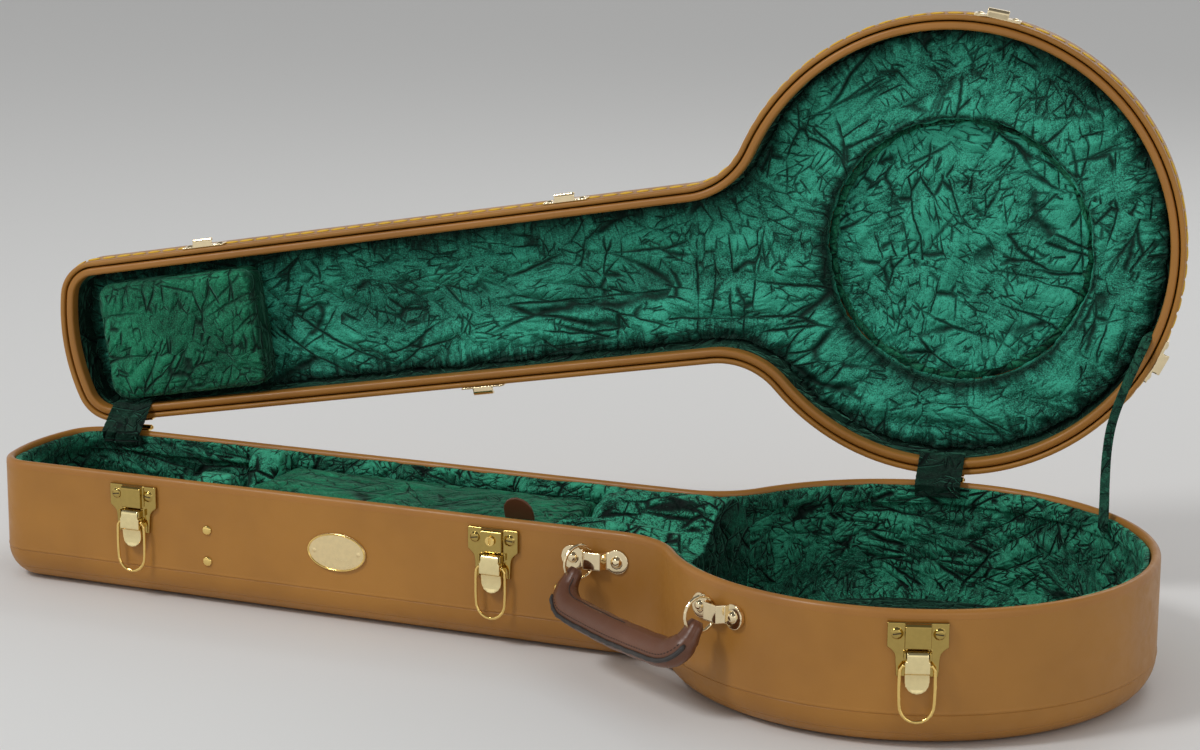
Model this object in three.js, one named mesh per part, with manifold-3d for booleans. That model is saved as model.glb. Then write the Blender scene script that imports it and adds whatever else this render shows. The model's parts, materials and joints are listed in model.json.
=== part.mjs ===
// Banjo case with its lid standing open. Millimetres, +X to the round end, +Y to the hinge side, +Z up.
// The origin is on the underside of the base, below the centre of the round bout.
import * as THREE from "three";
import { mergeVertices } from "three/addons/utils/BufferGeometryUtils.js";
import Module from "manifold-3d";

const wasm = await Module();
wasm.setup();

// Outline of the case, seen from above
const boutRadius = 200;
const headReach = 832;
const neckHalfWidthAtHead = 75.6;
const neckHalfWidthAtBout = 79;
const waistRadius = 63;
const headCornerRadius = 35.5;
const headEndRadius = 193;
const leastCornerRadius = 2;

// Heights and thicknesses of the shell
const baseHeight = 109.6;
const lidDepth = 56;
const baseWallThickness = 7.4;
const lidWallThickness = 4.6;
const panelThickness = 5;
const baseEdgeRadius = 28;
const lidEdgeRadius = 22;
const rimHeight = 7;
const lidOpenAngle = Math.PI / 2;
const hingeAxisOffset = 3;

// Clearances
const seatGap = 0.3;
const softGap = 0.4;
const runningGap = 0.4;
const partingGap = 0.6;
const overrun = 12;

// Facets
const boutSegments = 16;
const waistSegments = 4;
const cornerSegments = 4;
const endSegments = 2;
const edgeSegments = 3;
const domeSegments = 10;
const wireSides = 6;
const curveSteps = 4;
const knuckleSegments = 6;
const slabCornerSegments = 3;
const strapSteps = 12;

// Finishes
const tan = { color: 0xa87638, roughness: 0.5, metalness: 0 };
const tanEdge = { color: 0xb98343, roughness: 0.45, metalness: 0 };
const velvet = { color: 0x0f6a4c, roughness: 0.95, metalness: 0 };
const brass = { color: 0xe0b64f, roughness: 0.2, metalness: 1 };
const leather = { color: 0x5a3626, roughness: 0.5, metalness: 0 };

const vector = (x, y, z) => new THREE.Vector3(x, y, z);
const flatVector = (x, y) => new THREE.Vector2(x, y);

function piece(name, geometry, finish) {
  const mesh = new THREE.Mesh(geometry, new THREE.MeshStandardMaterial(finish));
  mesh.name = name;
  return mesh;
}

// Joining and cutting solids
function toSolid(geometry) {
  const bare = geometry.clone();
  bare.deleteAttribute("normal");
  bare.deleteAttribute("uv");
  const merged = mergeVertices(bare);
  return new wasm.Manifold(new wasm.Mesh({
    numProp: 3,
    vertProperties: new Float32Array(merged.attributes.position.array),
    triVerts: new Uint32Array(merged.index.array),
  }));
}

function fromSolid(solid) {
  const mesh = solid.getMesh();
  const geometry = new THREE.BufferGeometry();
  geometry.setAttribute("position", new THREE.BufferAttribute(mesh.vertProperties, mesh.numProp));
  geometry.setIndex(new THREE.BufferAttribute(mesh.triVerts, 1));
  return geometry;
}

const joined = (...parts) => fromSolid(parts.map(toSolid).reduce((all, next) => all.add(next)));
const shared = (a, b) => fromSolid(toSolid(a).intersect(toSolid(b)));
const cut = (a, ...cutters) =>
  fromSolid(cutters.map(toSolid).reduce((left, cutter) => left.subtract(cutter), toSolid(a)));

// Triangles of a flat ring that run the way round that the ring does
function cap(ring) {
  const triangles = THREE.ShapeUtils.triangulateShape(ring, []);
  return THREE.ShapeUtils.isClockWise(ring) ? triangles.map(([a, b, c]) => [c, b, a]) : triangles;
}

// A stack of rings with equal counts of points, closed on itself or with a flat cap at each end.
// Each ring runs anticlockwise when it is seen from where the stack leads.
function skin(rings, flatten) {
  const count = rings[0].length;
  const faces = [];
  const spans = flatten ? rings.length - 1 : rings.length;
  for (let j = 0; j < spans; j++) {
    const low = j * count;
    const high = ((j + 1) % rings.length) * count;
    for (let i = 0; i < count; i++) {
      const next = (i + 1) % count;
      faces.push(low + i, low + next, high + next, low + i, high + next, high + i);
    }
  }
  if (flatten) {
    const last = (rings.length - 1) * count;
    const lastRing = rings[rings.length - 1];
    cap(rings[0].map(flatten)).forEach(([a, b, c]) => faces.push(c, b, a));
    cap(lastRing.map(flatten)).forEach(([a, b, c]) => faces.push(last + a, last + b, last + c));
  }
  const geometry = new THREE.BufferGeometry();
  const positions = rings.flat().flatMap((p) => [p.x, p.y, p.z]);
  geometry.setAttribute("position", new THREE.Float32BufferAttribute(positions, 3));
  geometry.setIndex(faces);
  return geometry;
}

const seenFromAbove = (p) => flatVector(p.x, p.y);
const seenFromBout = (p) => flatVector(p.y, p.z);

function arc(centre, radius, from, to, segments, skipFirst) {
  const points = [];
  for (let i = skipFirst ? 1 : 0; i <= segments; i++) {
    const angle = from + (to - from) * (i / segments);
    points.push(flatVector(centre.x + radius * Math.cos(angle), centre.y + radius * Math.sin(angle)));
  }
  return points;
}

function box(low, high) {
  const size = new THREE.Vector3().subVectors(high, low);
  const middle = new THREE.Vector3().addVectors(low, high).multiplyScalar(1 / 2);
  return new THREE.BoxGeometry(size.x, size.y, size.z).translate(middle.x, middle.y, middle.z);
}

const extrude = (shape, depth, options = {}) =>
  new THREE.ExtrudeGeometry(shape, { depth, bevelEnabled: false, curveSegments: curveSteps, ...options });

// A side view, drawn as (out of the wall, up), carried across a width that is centred on the frame
function acrossWidth(shape, width) {
  const turn = new THREE.Matrix4().makeBasis(vector(0, 0, 1), vector(0, 1, 0), vector(-1, 0, 0));
  return extrude(shape, width).translate(0, 0, -width / 2).applyMatrix4(turn);
}

// A low dome on a round foot that reaches the sink below the frame's plane
function dome(radius, height, sink) {
  const riseShares = [[1, 0.35], [0.75, 0.8], [0.4, 0.97]];
  const profile = [
    flatVector(0, -sink),
    flatVector(radius, -sink),
    ...riseShares.map(([out, up]) => flatVector(radius * out, height * up)),
    flatVector(0, height),
  ];
  return new THREE.LatheGeometry(profile, domeSegments).rotateX(Math.PI / 2);
}

// The outline. The neck's sides are straight lines that open slightly towards the bout.
const neckSlope = (neckHalfWidthAtBout - neckHalfWidthAtHead) / (headReach - boutRadius);
const neckStretch = Math.hypot(neckSlope, 1);
const neckHalfWidth = (x, offset = 0) =>
  neckHalfWidthAtHead + neckSlope * (x + headReach) + offset * neckStretch;

// The leftmost point on the line y = rise + neckSlope x that lies at a distance from a point on the X axis
function centreOnLine(rise, pointX, distance) {
  const a = 1 + neckSlope * neckSlope;
  const b = 2 * (neckSlope * rise - pointX);
  const c = pointX * pointX + rise * rise - distance * distance;
  const x = (-b - Math.sqrt(Math.max(b * b - 4 * a * c, 0))) / (2 * a);
  return flatVector(x, rise + neckSlope * x);
}

// Outline moved outwards by an offset, anticlockwise
function outline(offset) {
  const endCentre = flatVector(headEndRadius - headReach, 0);
  const cornerRadius = Math.max(headCornerRadius + offset, leastCornerRadius);
  const corner = centreOnLine(
    neckHalfWidth(0, offset - cornerRadius), endCentre.x, headEndRadius + offset - cornerRadius);
  const waist = centreOnLine(neckHalfWidth(0, waistRadius), 0, boutRadius + waistRadius);
  const boutEnd = Math.atan2(waist.y, waist.x);
  const alongNeck = Math.atan2(neckSlope, 1);
  const cornerEnd = Math.atan2(corner.y, corner.x - endCentre.x);
  const upper = [
    ...arc(flatVector(0, 0), boutRadius + offset, 0, boutEnd, boutSegments),
    ...arc(waist, waistRadius - offset, boutEnd - Math.PI, alongNeck - Math.PI / 2, waistSegments, true),
    ...arc(corner, cornerRadius, alongNeck + Math.PI / 2, cornerEnd, cornerSegments),
    ...arc(endCentre, headEndRadius + offset, cornerEnd, Math.PI, endSegments, true),
  ];
  const lower = upper.slice(1, -1).reverse().map((p) => flatVector(p.x, -p.y));
  return [...upper, ...lower];
}

const outlineRing = ([offset, z]) => outline(offset).map((p) => vector(p.x, p.y, z));
const band = (section) => skin(section.map(outlineRing));
const bowl = (section) => skin(section.map(outlineRing), seenFromAbove);

// A round edge as [offset, height] pairs
function roundEdge(inset, height, radius, from, to) {
  return arc(flatVector(-inset, height), radius, from, to, edgeSegments).map((p) => [p.x, p.y]);
}

// The case's outline as one tall prism, a little larger all round: it shapes the backs of the fittings
const caseHeight = baseHeight + partingGap + lidDepth;
const prism = (growth) => bowl([[growth, -overrun], [growth, caseHeight + overrun]]);
const wallPrism = prism(seatGap);

// A frame on the wall, seen from outside: x to the right, y up, z out of the wall
function wallFrame(x, y, height, outAngle) {
  const out = vector(Math.cos(outAngle), Math.sin(outAngle), 0);
  const up = vector(0, 0, 1);
  const right = new THREE.Vector3().crossVectors(up, out);
  return new THREE.Matrix4().makeBasis(right, up, out).setPosition(x, y, height);
}

const onNeck = (fromHead, side) => (height) => wallFrame(
  fromHead - headReach, side * neckHalfWidth(fromHead - headReach), height,
  side * (Math.PI / 2 + Math.atan(neckSlope)));
const onBout = (degrees) => (height) => {
  const angle = THREE.MathUtils.degToRad(degrees);
  return wallFrame(boutRadius * Math.cos(angle), boutRadius * Math.sin(angle), height, angle);
};

function placed(frame, ...children) {
  const group = new THREE.Group();
  frame.decompose(group.position, group.quaternion, group.scale);
  group.add(...children);
  return group;
}

// A fitting drawn in a wall frame, with its back cut to the wall
const fitted = (geometry, frame) => cut(geometry, wallPrism.clone().applyMatrix4(frame.clone().invert()));

// Shell of the base
const baseInner = -baseWallThickness;
const rimInner = baseInner - seatGap;

function makeBaseWall() {
  const low = baseEdgeRadius + seatGap;
  const high = baseHeight - rimHeight;
  return band([[0, low], [0, high], [baseInner, high], [baseInner, low]]);
}

// The rounded bead that caps the wall
function makeBaseRim() {
  const low = baseHeight - rimHeight + seatGap;
  const round = -rimInner / 2;
  const crown = arc(flatVector(-round, baseHeight - round), round, 0, Math.PI, edgeSegments);
  return band([[0, low], ...crown.map((p) => [p.x, p.y]), [rimInner, low]]);
}

// The underside: a shallow tray with a rounded edge
const innerEdgeRadius = baseEdgeRadius - panelThickness;
function makeBaseTray() {
  return bowl([
    ...roundEdge(baseEdgeRadius, baseEdgeRadius, baseEdgeRadius, -Math.PI / 2, 0),
    ...roundEdge(baseEdgeRadius, baseEdgeRadius, innerEdgeRadius, 0, -Math.PI / 2),
  ]);
}

// Linings and pads of the base
const liningThickness = 3.2;
const rollDepth = 4;
const rollHeight = 18;
const liningDrop = 2.4;
const liningBack = rimInner - seatGap;
const liningFace = liningBack - liningThickness;
const lowSide = liningFace - softGap;
const blockSide = liningFace - rollDepth - softGap;
const floorTop = panelThickness + seatGap;
const floorInset = baseEdgeRadius + 2 * softGap;

// The lining rounds up from the floor and swells to a soft roll just under the rim
function makeBaseLining() {
  const top = baseHeight - liningDrop;
  const under = roundEdge(baseEdgeRadius, baseEdgeRadius, baseEdgeRadius + liningBack, -Math.PI / 2, 0);
  const over = roundEdge(baseEdgeRadius, baseEdgeRadius, baseEdgeRadius + liningFace, 0, -Math.PI / 2);
  const rollShares = [[0.1, 0], [0.65, 0.1], [1, 0.36], [0.85, 0.66], [0.3, 0.9]];
  const roll = rollShares.map(([out, down]) => [liningFace - rollDepth * out, top - rollHeight * down]);
  return band([...under, [liningBack, top], ...roll, [liningFace, top - rollHeight], ...over]);
}

// Floor pad of the round bout, crowned
const boutPad = { thickness: 9, crown: 4, crownShare: 1 / 3 };

function makeBoutPad() {
  const radius = boutRadius - floorInset;
  const ring = (share, z) =>
    arc(flatVector(0, 0), radius * share, 0, 2 * Math.PI, 2 * boutSegments, true)
      .map((p) => vector(p.x, p.y, z));
  const crownShares = [[1, 0], [1, 0.5], [0.97, 0.85], [0.9, 1]];
  return skin([
    ...crownShares.map(([out, up]) => ring(out, floorTop + boutPad.thickness * up)),
    ring(boutPad.crownShare, floorTop + boutPad.thickness + boutPad.crown),
  ], seenFromAbove);
}

// Places along the neck
const neckPadThickness = 12;
const cradle = {
  fromHead: 204, thickness: 32, rise: 3.4, notchHalf: 30, notchDepth: 42, corner: 14, bevel: 3,
};
const cradleHeadFace = cradle.fromHead - headReach;
const cradleBoutFace = cradleHeadFace + cradle.thickness;
const heel = {
  fromHead: 538, troughDrop: 36, rise: 3.6, endDrop: 22, troughCrown: 3, flare: 26, openAngle: Math.PI / 5,
};
const heelHeadFace = heel.fromHead - headReach;
const wellRadius = boutRadius + blockSide;

// Floor pad of the neck, from the head end to the heel block
function makeNeckPad() {
  const whole = bowl([
    [-floorInset, floorTop],
    [-floorInset, floorTop + neckPadThickness / 2],
    [-floorInset - neckPadThickness / 3, floorTop + neckPadThickness],
  ]);
  const keep = box(
    vector(-headReach - overrun, -boutRadius, -overrun),
    vector(heelHeadFace - softGap, boutRadius, baseHeight),
  );
  return shared(whole, keep);
}

// The room inside the lining, which tall blocks keep to
function baseRoom(inset, gap) {
  const radius = baseEdgeRadius + liningFace - gap;
  return bowl([
    [-floorInset, panelThickness],
    ...roundEdge(inset, baseEdgeRadius, radius, -Math.PI / 2, 0).slice(0, -1),
    [blockSide, baseEdgeRadius],
    [blockSide, caseHeight],
  ]);
}

// Heel block: two soft rolls with the trough for the neck between them, and a face that follows the bout
function makeHeelBlock() {
  const alongShares = [[0, 0.25], [0.06, 0.75], [0.22, 1], [0.62, 1], [0.84, 0.9], [1, 0.7]];
  const acrossShares = [[1, 0.15], [0.95, 0.72], [0.8, 1], [0.6, 0.9], [0.4, 0.3], [0.28, 0]];
  const length = -wellRadius * Math.cos(heel.openAngle) - heelHeadFace;
  const troughTop = baseHeight - heel.troughDrop;
  const rings = alongShares.map(([along, rise]) => {
    const x = heelHeadFace + length * along;
    const half = neckHalfWidth(x, blockSide) + heel.flare * along * along;
    const top = baseHeight + heel.rise - heel.endDrop * (1 - rise);
    const right = acrossShares.map(([out, up]) =>
      vector(x, half * out, THREE.MathUtils.lerp(troughTop, top, up)));
    const left = right.map((p) => vector(x, -p.y, p.z)).reverse();
    const middle = vector(x, 0, troughTop - heel.troughCrown);
    return [vector(x, -half, floorTop), vector(x, half, floorTop), ...right, middle, ...left];
  });
  const well = new THREE.CylinderGeometry(wellRadius, wellRadius, 2 * caseHeight, 3 * boutSegments)
    .rotateX(Math.PI / 2);
  return cut(shared(skin(rings, seenFromBout), baseRoom(floorInset, softGap)), well);
}

// Neck cradle: an upright block with a round notch for the neck
function makeCradle() {
  const half = neckHalfWidth(cradleHeadFace, blockSide);
  const top = baseHeight + cradle.rise;
  const low = floorTop + neckPadThickness + softGap;
  const { notchHalf, notchDepth, corner, bevel } = cradle;
  const shape = new THREE.Shape();
  shape.moveTo(-half, low);
  shape.lineTo(half, low);
  shape.lineTo(half, top - corner);
  shape.quadraticCurveTo(half, top, half - corner, top);
  shape.quadraticCurveTo(notchHalf, top, notchHalf, top - notchDepth / 2);
  shape.quadraticCurveTo(notchHalf, top - notchDepth, 0, top - notchDepth);
  shape.quadraticCurveTo(-notchHalf, top - notchDepth, -notchHalf, top - notchDepth / 2);
  shape.quadraticCurveTo(-notchHalf, top, corner - half, top);
  shape.quadraticCurveTo(-half, top, -half, top - corner);
  const upright = new THREE.Matrix4().makeBasis(vector(0, 1, 0), vector(0, 0, 1), vector(1, 0, 0));
  const block = extrude(shape, cradle.thickness - 2 * bevel, {
    bevelEnabled: true, bevelThickness: bevel, bevelSize: bevel, bevelOffset: -bevel, bevelSegments: 2,
  }).translate(0, 0, bevel).applyMatrix4(upright).translate(cradleHeadFace, 0, 0);
  return shared(block, baseRoom(baseEdgeRadius, 0));
}

// A soft slab: a rounded rectangle drawn in at each of its levels, given as [inset, height]
function softSlab(low, high, corner, levels) {
  const corners = [
    [high.x, high.y, -1, -1], [low.x, high.y, 1, -1], [low.x, low.y, 1, 1], [high.x, low.y, -1, 1],
  ];
  const ring = ([inset, z]) => {
    const radius = Math.max(corner - inset, leastCornerRadius);
    const arm = inset + radius;
    return corners
      .flatMap(([x, y, right, back], quarter) => arc(flatVector(x + right * arm, y + back * arm), radius,
        quarter * Math.PI / 2, (quarter + 1) * Math.PI / 2, slabCornerSegments))
      .map((p) => vector(p.x, p.y, z));
  };
  return skin(levels.map(ring), seenFromAbove);
}

// Compartment for small things: a padded lid on two ledges, between the cradle and the heel block
const accessory = {
  top: 98, board: 5, pad: 9, crown: 2.5, endGap: 0.8, corner: 6, ledgeWidth: 9, ledgeHeight: 12,
};
const accessoryLow = accessory.top - accessory.pad - accessory.board;
const accessoryHalf = neckHalfWidth(cradleBoutFace, blockSide) - softGap;

function makeAccessoryLid() {
  const { top, board, pad, crown, endGap, corner } = accessory;
  const boardTop = accessoryLow + board;
  const crownShares = [[0, 0.3], [0.35, 0.75], [1.2, 1]];
  return softSlab(
    flatVector(cradleBoutFace + endGap, -accessoryHalf),
    flatVector(heelHeadFace - endGap, accessoryHalf),
    corner,
    [
      [0, accessoryLow],
      ...crownShares.map(([inset, up]) => [pad * inset, boardTop + pad * up]),
      [accessoryHalf / 2, top + crown],
    ],
  );
}

function makeLedge(side) {
  const start = cradleBoutFace + softGap;
  const end = heelHeadFace - softGap;
  const top = accessoryLow - seatGap;
  const ring = (z) => {
    const points = [
      vector(start, side * (neckHalfWidth(start, lowSide) - accessory.ledgeWidth), z),
      vector(end, side * (neckHalfWidth(end, lowSide) - accessory.ledgeWidth), z),
      vector(end, side * neckHalfWidth(end, lowSide), z),
      vector(start, side * neckHalfWidth(start, lowSide), z),
    ];
    return side > 0 ? points : points.reverse();
  };
  return skin([ring(top - accessory.ledgeHeight), ring(top)], seenFromAbove);
}

// Leather pull tab that stands on the accessory lid
const tab = { width: 27, rise: 21, thickness: 2.2, fromHeel: 32, fromFront: 22, lean: 0.35, seat: 2.6 };

function makeTab() {
  const half = tab.width / 2;
  const shape = new THREE.Shape();
  shape.moveTo(-half, 0);
  shape.lineTo(half, 0);
  shape.lineTo(half, tab.rise - half);
  shape.absarc(0, tab.rise - half, half, 0, Math.PI, false);
  return extrude(shape, tab.thickness)
    .rotateX(Math.PI / 2 + tab.lean)
    .translate(heelHeadFace - tab.fromHeel, tab.fromFront - accessoryHalf, accessory.top + tab.seat);
}

// Draw latches: a plate on the base, a lever on the plate and a wire bail on the lever
const latch = {
  topDrop: 8.3, halfWidth: 23, shoulder: 19, waistHalf: 16.6, waistDrop: 27, footHalf: 15.6, height: 42,
  plate: 3.3, bevel: 0.6, back: 3, humpHalf: 9.7, humpHeight: 18.6, humpOut: 7.4, humpDrop: 0.8,
  humpSlope: 1.6, screwAcross: 15.8, screwDrop: 8.6, screwRadius: 4.3, screwHeight: 1.9,
  pivotOut: 7.1, pivotDrop: 24.4, pinRadius: 1.3, knuckle: 3, earInner: 8.7, earOuter: 10.5, earHalf: 3,
  leverHalf: 8.2, flapHalf: 9.4, flapDrop: 28.6, flapOut: 10.4, flapEnd: 39, tongue: 1.8, length: 54.6,
  bailDrop: 32, bailOut: 7.4, bailRadius: 1.5, bailHalf: 12.9, bailLength: 44, bailReach: 6.6,
};
const bailBends = 8;
const bailSteps = 26;
const latchFrameHeight = baseHeight - latch.topDrop;

function latchPlateShape() {
  const { halfWidth, shoulder, waistHalf, waistDrop, footHalf, height } = latch;
  const bend = (shoulder + waistDrop) / 2;
  const shape = new THREE.Shape();
  shape.moveTo(-footHalf, -height);
  shape.lineTo(footHalf, -height);
  shape.lineTo(waistHalf, -waistDrop);
  shape.quadraticCurveTo(waistHalf, -bend, halfWidth, -shoulder);
  shape.lineTo(halfWidth, 0);
  shape.lineTo(-halfWidth, 0);
  shape.lineTo(-halfWidth, -shoulder);
  shape.quadraticCurveTo(-waistHalf, -bend, -waistHalf, -waistDrop);
  return shape;
}

function makeLatchPlate() {
  const { plate, bevel, back, humpHalf, humpHeight, humpOut, humpDrop, humpSlope } = latch;
  const { screwAcross, screwDrop, screwRadius, screwHeight } = latch;
  const { pivotOut, pivotDrop, pinRadius, knuckle, earInner, earOuter, earHalf } = latch;
  const slab = extrude(latchPlateShape(), plate + back - 2 * bevel, {
    bevelEnabled: true, bevelThickness: bevel, bevelSize: bevel, bevelOffset: -bevel, bevelSegments: 1,
    curveSegments: curveSteps - 1,
  }).translate(0, 0, bevel - back);
  const humpSide = new THREE.Shape([
    flatVector(0, -humpDrop - humpHeight),
    flatVector(humpOut, -humpDrop - humpHeight),
    flatVector(humpOut, -humpDrop - humpSlope),
    flatVector(humpOut - humpSlope, -humpDrop),
    flatVector(0, -humpDrop),
  ]);
  const screws = [-1, 1].map((side) =>
    dome(screwRadius, screwHeight, plate / 2).translate(side * screwAcross, -screwDrop, plate));
  const ears = [-1, 1].map((side) => box(
    vector(Math.min(side * earInner, side * earOuter), -pivotDrop - earHalf, 0),
    vector(Math.max(side * earInner, side * earOuter), -pivotDrop + earHalf, pivotOut + knuckle),
  ));
  const pin = new THREE.CylinderGeometry(pinRadius, pinRadius, 2 * earOuter, domeSegments)
    .rotateZ(Math.PI / 2)
    .translate(0, -pivotDrop, pivotOut);
  return joined(slab, acrossWidth(humpSide, 2 * humpHalf), ...screws, ...ears, pin);
}

const roundHole = (x, y, radius) =>
  new THREE.Path(arc(flatVector(x, y), radius, 0, 2 * Math.PI, domeSegments, true));

function makeLatchLever() {
  const { plate, pivotOut, pivotDrop, pinRadius, knuckle, leverHalf, flapHalf, flapDrop, flapOut } = latch;
  const { flapEnd, tongue, length, bailDrop, bailOut, bailRadius } = latch;
  const behind = plate + runningGap;
  const middle = (flapEnd + length) / 2;
  const side = new THREE.Shape();
  side.moveTo(pivotOut - knuckle, -pivotDrop);
  arc(flatVector(pivotOut, -pivotDrop), knuckle, Math.PI, 0, knuckleSegments, true)
    .forEach((p) => side.lineTo(p.x, p.y));
  side.quadraticCurveTo(flapOut, -flapDrop, flapOut, -bailDrop);
  side.lineTo(flapOut, pinRadius - flapEnd);
  side.lineTo(bailOut, -flapEnd);
  side.quadraticCurveTo(behind + tongue, -middle, bailOut, -length);
  side.lineTo(bailOut - tongue, -length);
  side.quadraticCurveTo(behind, -middle, behind, -flapEnd);
  side.lineTo(behind, -bailDrop);
  side.holes.push(roundHole(pivotOut, -pivotDrop, pinRadius + runningGap));
  side.holes.push(roundHole(bailOut, -bailDrop, bailRadius + runningGap));
  const front = new THREE.Shape();
  front.moveTo(-flapHalf, -flapDrop);
  front.lineTo(-flapHalf, flapHalf - length);
  front.absarc(0, flapHalf - length, flapHalf, Math.PI, 2 * Math.PI, false);
  front.lineTo(flapHalf, -flapDrop);
  front.lineTo(leverHalf, -flapDrop);
  front.lineTo(leverHalf, 0);
  front.lineTo(-leverHalf, 0);
  front.lineTo(-leverHalf, -flapDrop);
  return shared(acrossWidth(side, 2 * flapHalf + overrun), extrude(front, flapOut + overrun));
}

function makeLatchBail() {
  const { bailDrop, bailOut, bailRadius, bailHalf, bailLength, bailReach } = latch;
  const bend = 2 * bailRadius;
  const low = bailHalf - bailDrop - bailLength;
  const right = [
    vector(bailReach, -bailDrop, bailOut),
    vector(bailHalf - bend, -bailDrop, bailOut),
    vector(bailHalf - bend / 4, -bailDrop - bend / 4, bailOut),
    vector(bailHalf, -bailDrop - bend, bailOut),
    vector(bailHalf, low, bailOut),
  ];
  const bottom = arc(flatVector(0, low), bailHalf, 0, -Math.PI, bailBends, true).slice(0, -1)
    .map((p) => vector(p.x, p.y, bailOut));
  const left = [...right].reverse().map((p) => vector(-p.x, p.y, p.z));
  const section = new THREE.Shape(arc(flatVector(0, 0), bailRadius, 0, 2 * Math.PI, wireSides, true));
  const extrudePath = new THREE.CatmullRomCurve3([...right, ...bottom, ...left], false, "centripetal");
  return new THREE.ExtrudeGeometry(section, { steps: bailSteps, extrudePath, bevelEnabled: false });
}

// Key cylinder of the latch that locks
const key = { radius: 4.2, height: 1.8, drop: 9.6, slotHalf: 0.7, slotReach: 2.6 };

function makeKeyCylinder() {
  const seat = latch.humpOut + seatGap;
  const barrel = new THREE.CylinderGeometry(key.radius, key.radius, key.height, 2 * domeSegments)
    .rotateX(Math.PI / 2)
    .translate(0, -key.drop, seat + key.height / 2);
  const slot = box(
    vector(-key.slotHalf, -key.drop - key.slotReach, seat + key.height / 2),
    vector(key.slotHalf, -key.drop + key.slotReach, seat + overrun),
  );
  return cut(barrel, slot);
}

// Catches on the lid that the bails hook over
const hook = {
  half: 20, seat: 1.2, height: 12, plate: 1.9, humpHalf: 9.3, lip: 2.5, out: 8.2, web: 2.2,
  screwAcross: 15, screwRise: 6.5, screwRadius: 2.9, screwHeight: 1.3,
};

function makeCatch() {
  const { half, seat, height, plate, humpHalf, lip, out, web } = hook;
  const flange = box(vector(-half, seat, -latch.back), vector(half, seat + height, plate));
  const side = new THREE.Shape([
    flatVector(0, seat),
    flatVector(out - lip, seat),
    flatVector(out, seat + lip / 2),
    flatVector(out, seat + lip + web),
    flatVector(out - web, seat + lip + web),
    flatVector(out - web, seat + lip),
    flatVector(plate, seat + lip),
    flatVector(plate, seat + height),
    flatVector(0, seat + height),
  ]);
  const screws = [-1, 1].map((across) => dome(hook.screwRadius, hook.screwHeight, plate / 2)
    .translate(across * hook.screwAcross, seat + hook.screwRise, plate));
  return joined(flange, acrossWidth(side, 2 * humpHalf), ...screws);
}

// The five latches, placed by a distance from the head end or by degrees round the bout
const latchFromHead = { head: 154, middle: 500, back: 398 };
const latchDegrees = { front: -71, end: 35.6 };
const latchPlaces = [
  { name: "head", at: onNeck(latchFromHead.head, -1) },
  { name: "middle", at: onNeck(latchFromHead.middle, -1), locks: true },
  { name: "front", at: onBout(latchDegrees.front) },
  { name: "end", at: onBout(latchDegrees.end) },
  { name: "back", at: onNeck(latchFromHead.back, 1) },
];

function makeLatch({ name, at, locks }) {
  const frame = at(latchFrameHeight);
  const group = placed(
    frame,
    piece("latch_plate_" + name, fitted(makeLatchPlate(), frame), brass),
    piece("latch_lever_" + name, makeLatchLever(), brass),
    piece("latch_bail_" + name, makeLatchBail(), brass),
  );
  if (locks) group.add(piece("lock_cylinder", makeKeyCylinder(), brass));
  return group;
}

// Handle: two brackets on the wall, a ring round each bracket's strap and a padded grip between the rings
const bracket = {
  leftFromHead: 591, rightDegrees: -119.6, height: 85, lobeAcross: 19.5, lobeRadius: 10.2, plate: 1.9,
  waistHalf: 7.4, strapHalf: 7.6, strapOut: 8.6, strap: 1.6, foot: 3, rivetRadius: 4.4, rivetHeight: 3.4,
  ringRadius: 14.3, wire: 1.6,
};
const leftBracketFrame = onNeck(bracket.leftFromHead, -1)(bracket.height);
const rightBracketFrame = onBout(bracket.rightDegrees)(bracket.height);

function makeBracket(frame) {
  const { lobeAcross, lobeRadius, plate, waistHalf, strapHalf, strapOut, strap, foot } = bracket;
  const lobes = [-1, 1].map((side) => {
    const inner = side * (strapHalf + strap);
    const neck = box(
      vector(Math.min(inner, side * lobeAcross), -waistHalf, -latch.back),
      vector(Math.max(inner, side * lobeAcross), waistHalf, plate));
    const lobe = new THREE.CylinderGeometry(lobeRadius, lobeRadius, plate + latch.back, 2 * domeSegments)
      .rotateX(Math.PI / 2)
      .translate(side * lobeAcross, 0, (plate - latch.back) / 2);
    const head = dome(bracket.rivetRadius, bracket.rivetHeight, plate / 2)
      .translate(side * lobeAcross, 0, plate);
    return joined(neck, lobe, head);
  });
  const outer = strapHalf + foot;
  const side = new THREE.Shape([
    flatVector(-outer, 0),
    flatVector(-strapHalf - strap / 2, 0),
    flatVector(strap - strapHalf, strapOut - strap),
    flatVector(strapHalf - strap, strapOut - strap),
    flatVector(strapHalf + strap / 2, 0),
    flatVector(outer, 0),
    flatVector(outer, plate),
    flatVector(strapHalf, strapOut),
    flatVector(-strapHalf, strapOut),
    flatVector(-outer, plate),
  ]);
  const bridge = extrude(side, 2 * waistHalf).rotateX(Math.PI / 2).translate(0, waistHalf, 0);
  return fitted(joined(...lobes, bridge), frame);
}

// The rings turn about one line that joins their centres
const tunnel = vector(0, 0, bracket.wire + 2 * runningGap);
const leftTunnel = tunnel.clone().applyMatrix4(leftBracketFrame);
const rightTunnel = tunnel.clone().applyMatrix4(rightBracketFrame);
const handleAlong = new THREE.Vector3().subVectors(rightTunnel, leftTunnel);
const handleSpan = handleAlong.length();
handleAlong.normalize();
const handleOut = new THREE.Vector3().crossVectors(handleAlong, vector(0, 0, 1)).normalize();
const handleCentre = leftTunnel.clone().addScaledVector(handleOut, bracket.ringRadius);
const grip = { out: 20, drop: 33, thick: 12.4, deep: 10.4, endThick: 8.4, endDeep: 5.6, sides: 12 };
const gripLean = -Math.atan2(grip.drop, grip.out);

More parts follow.
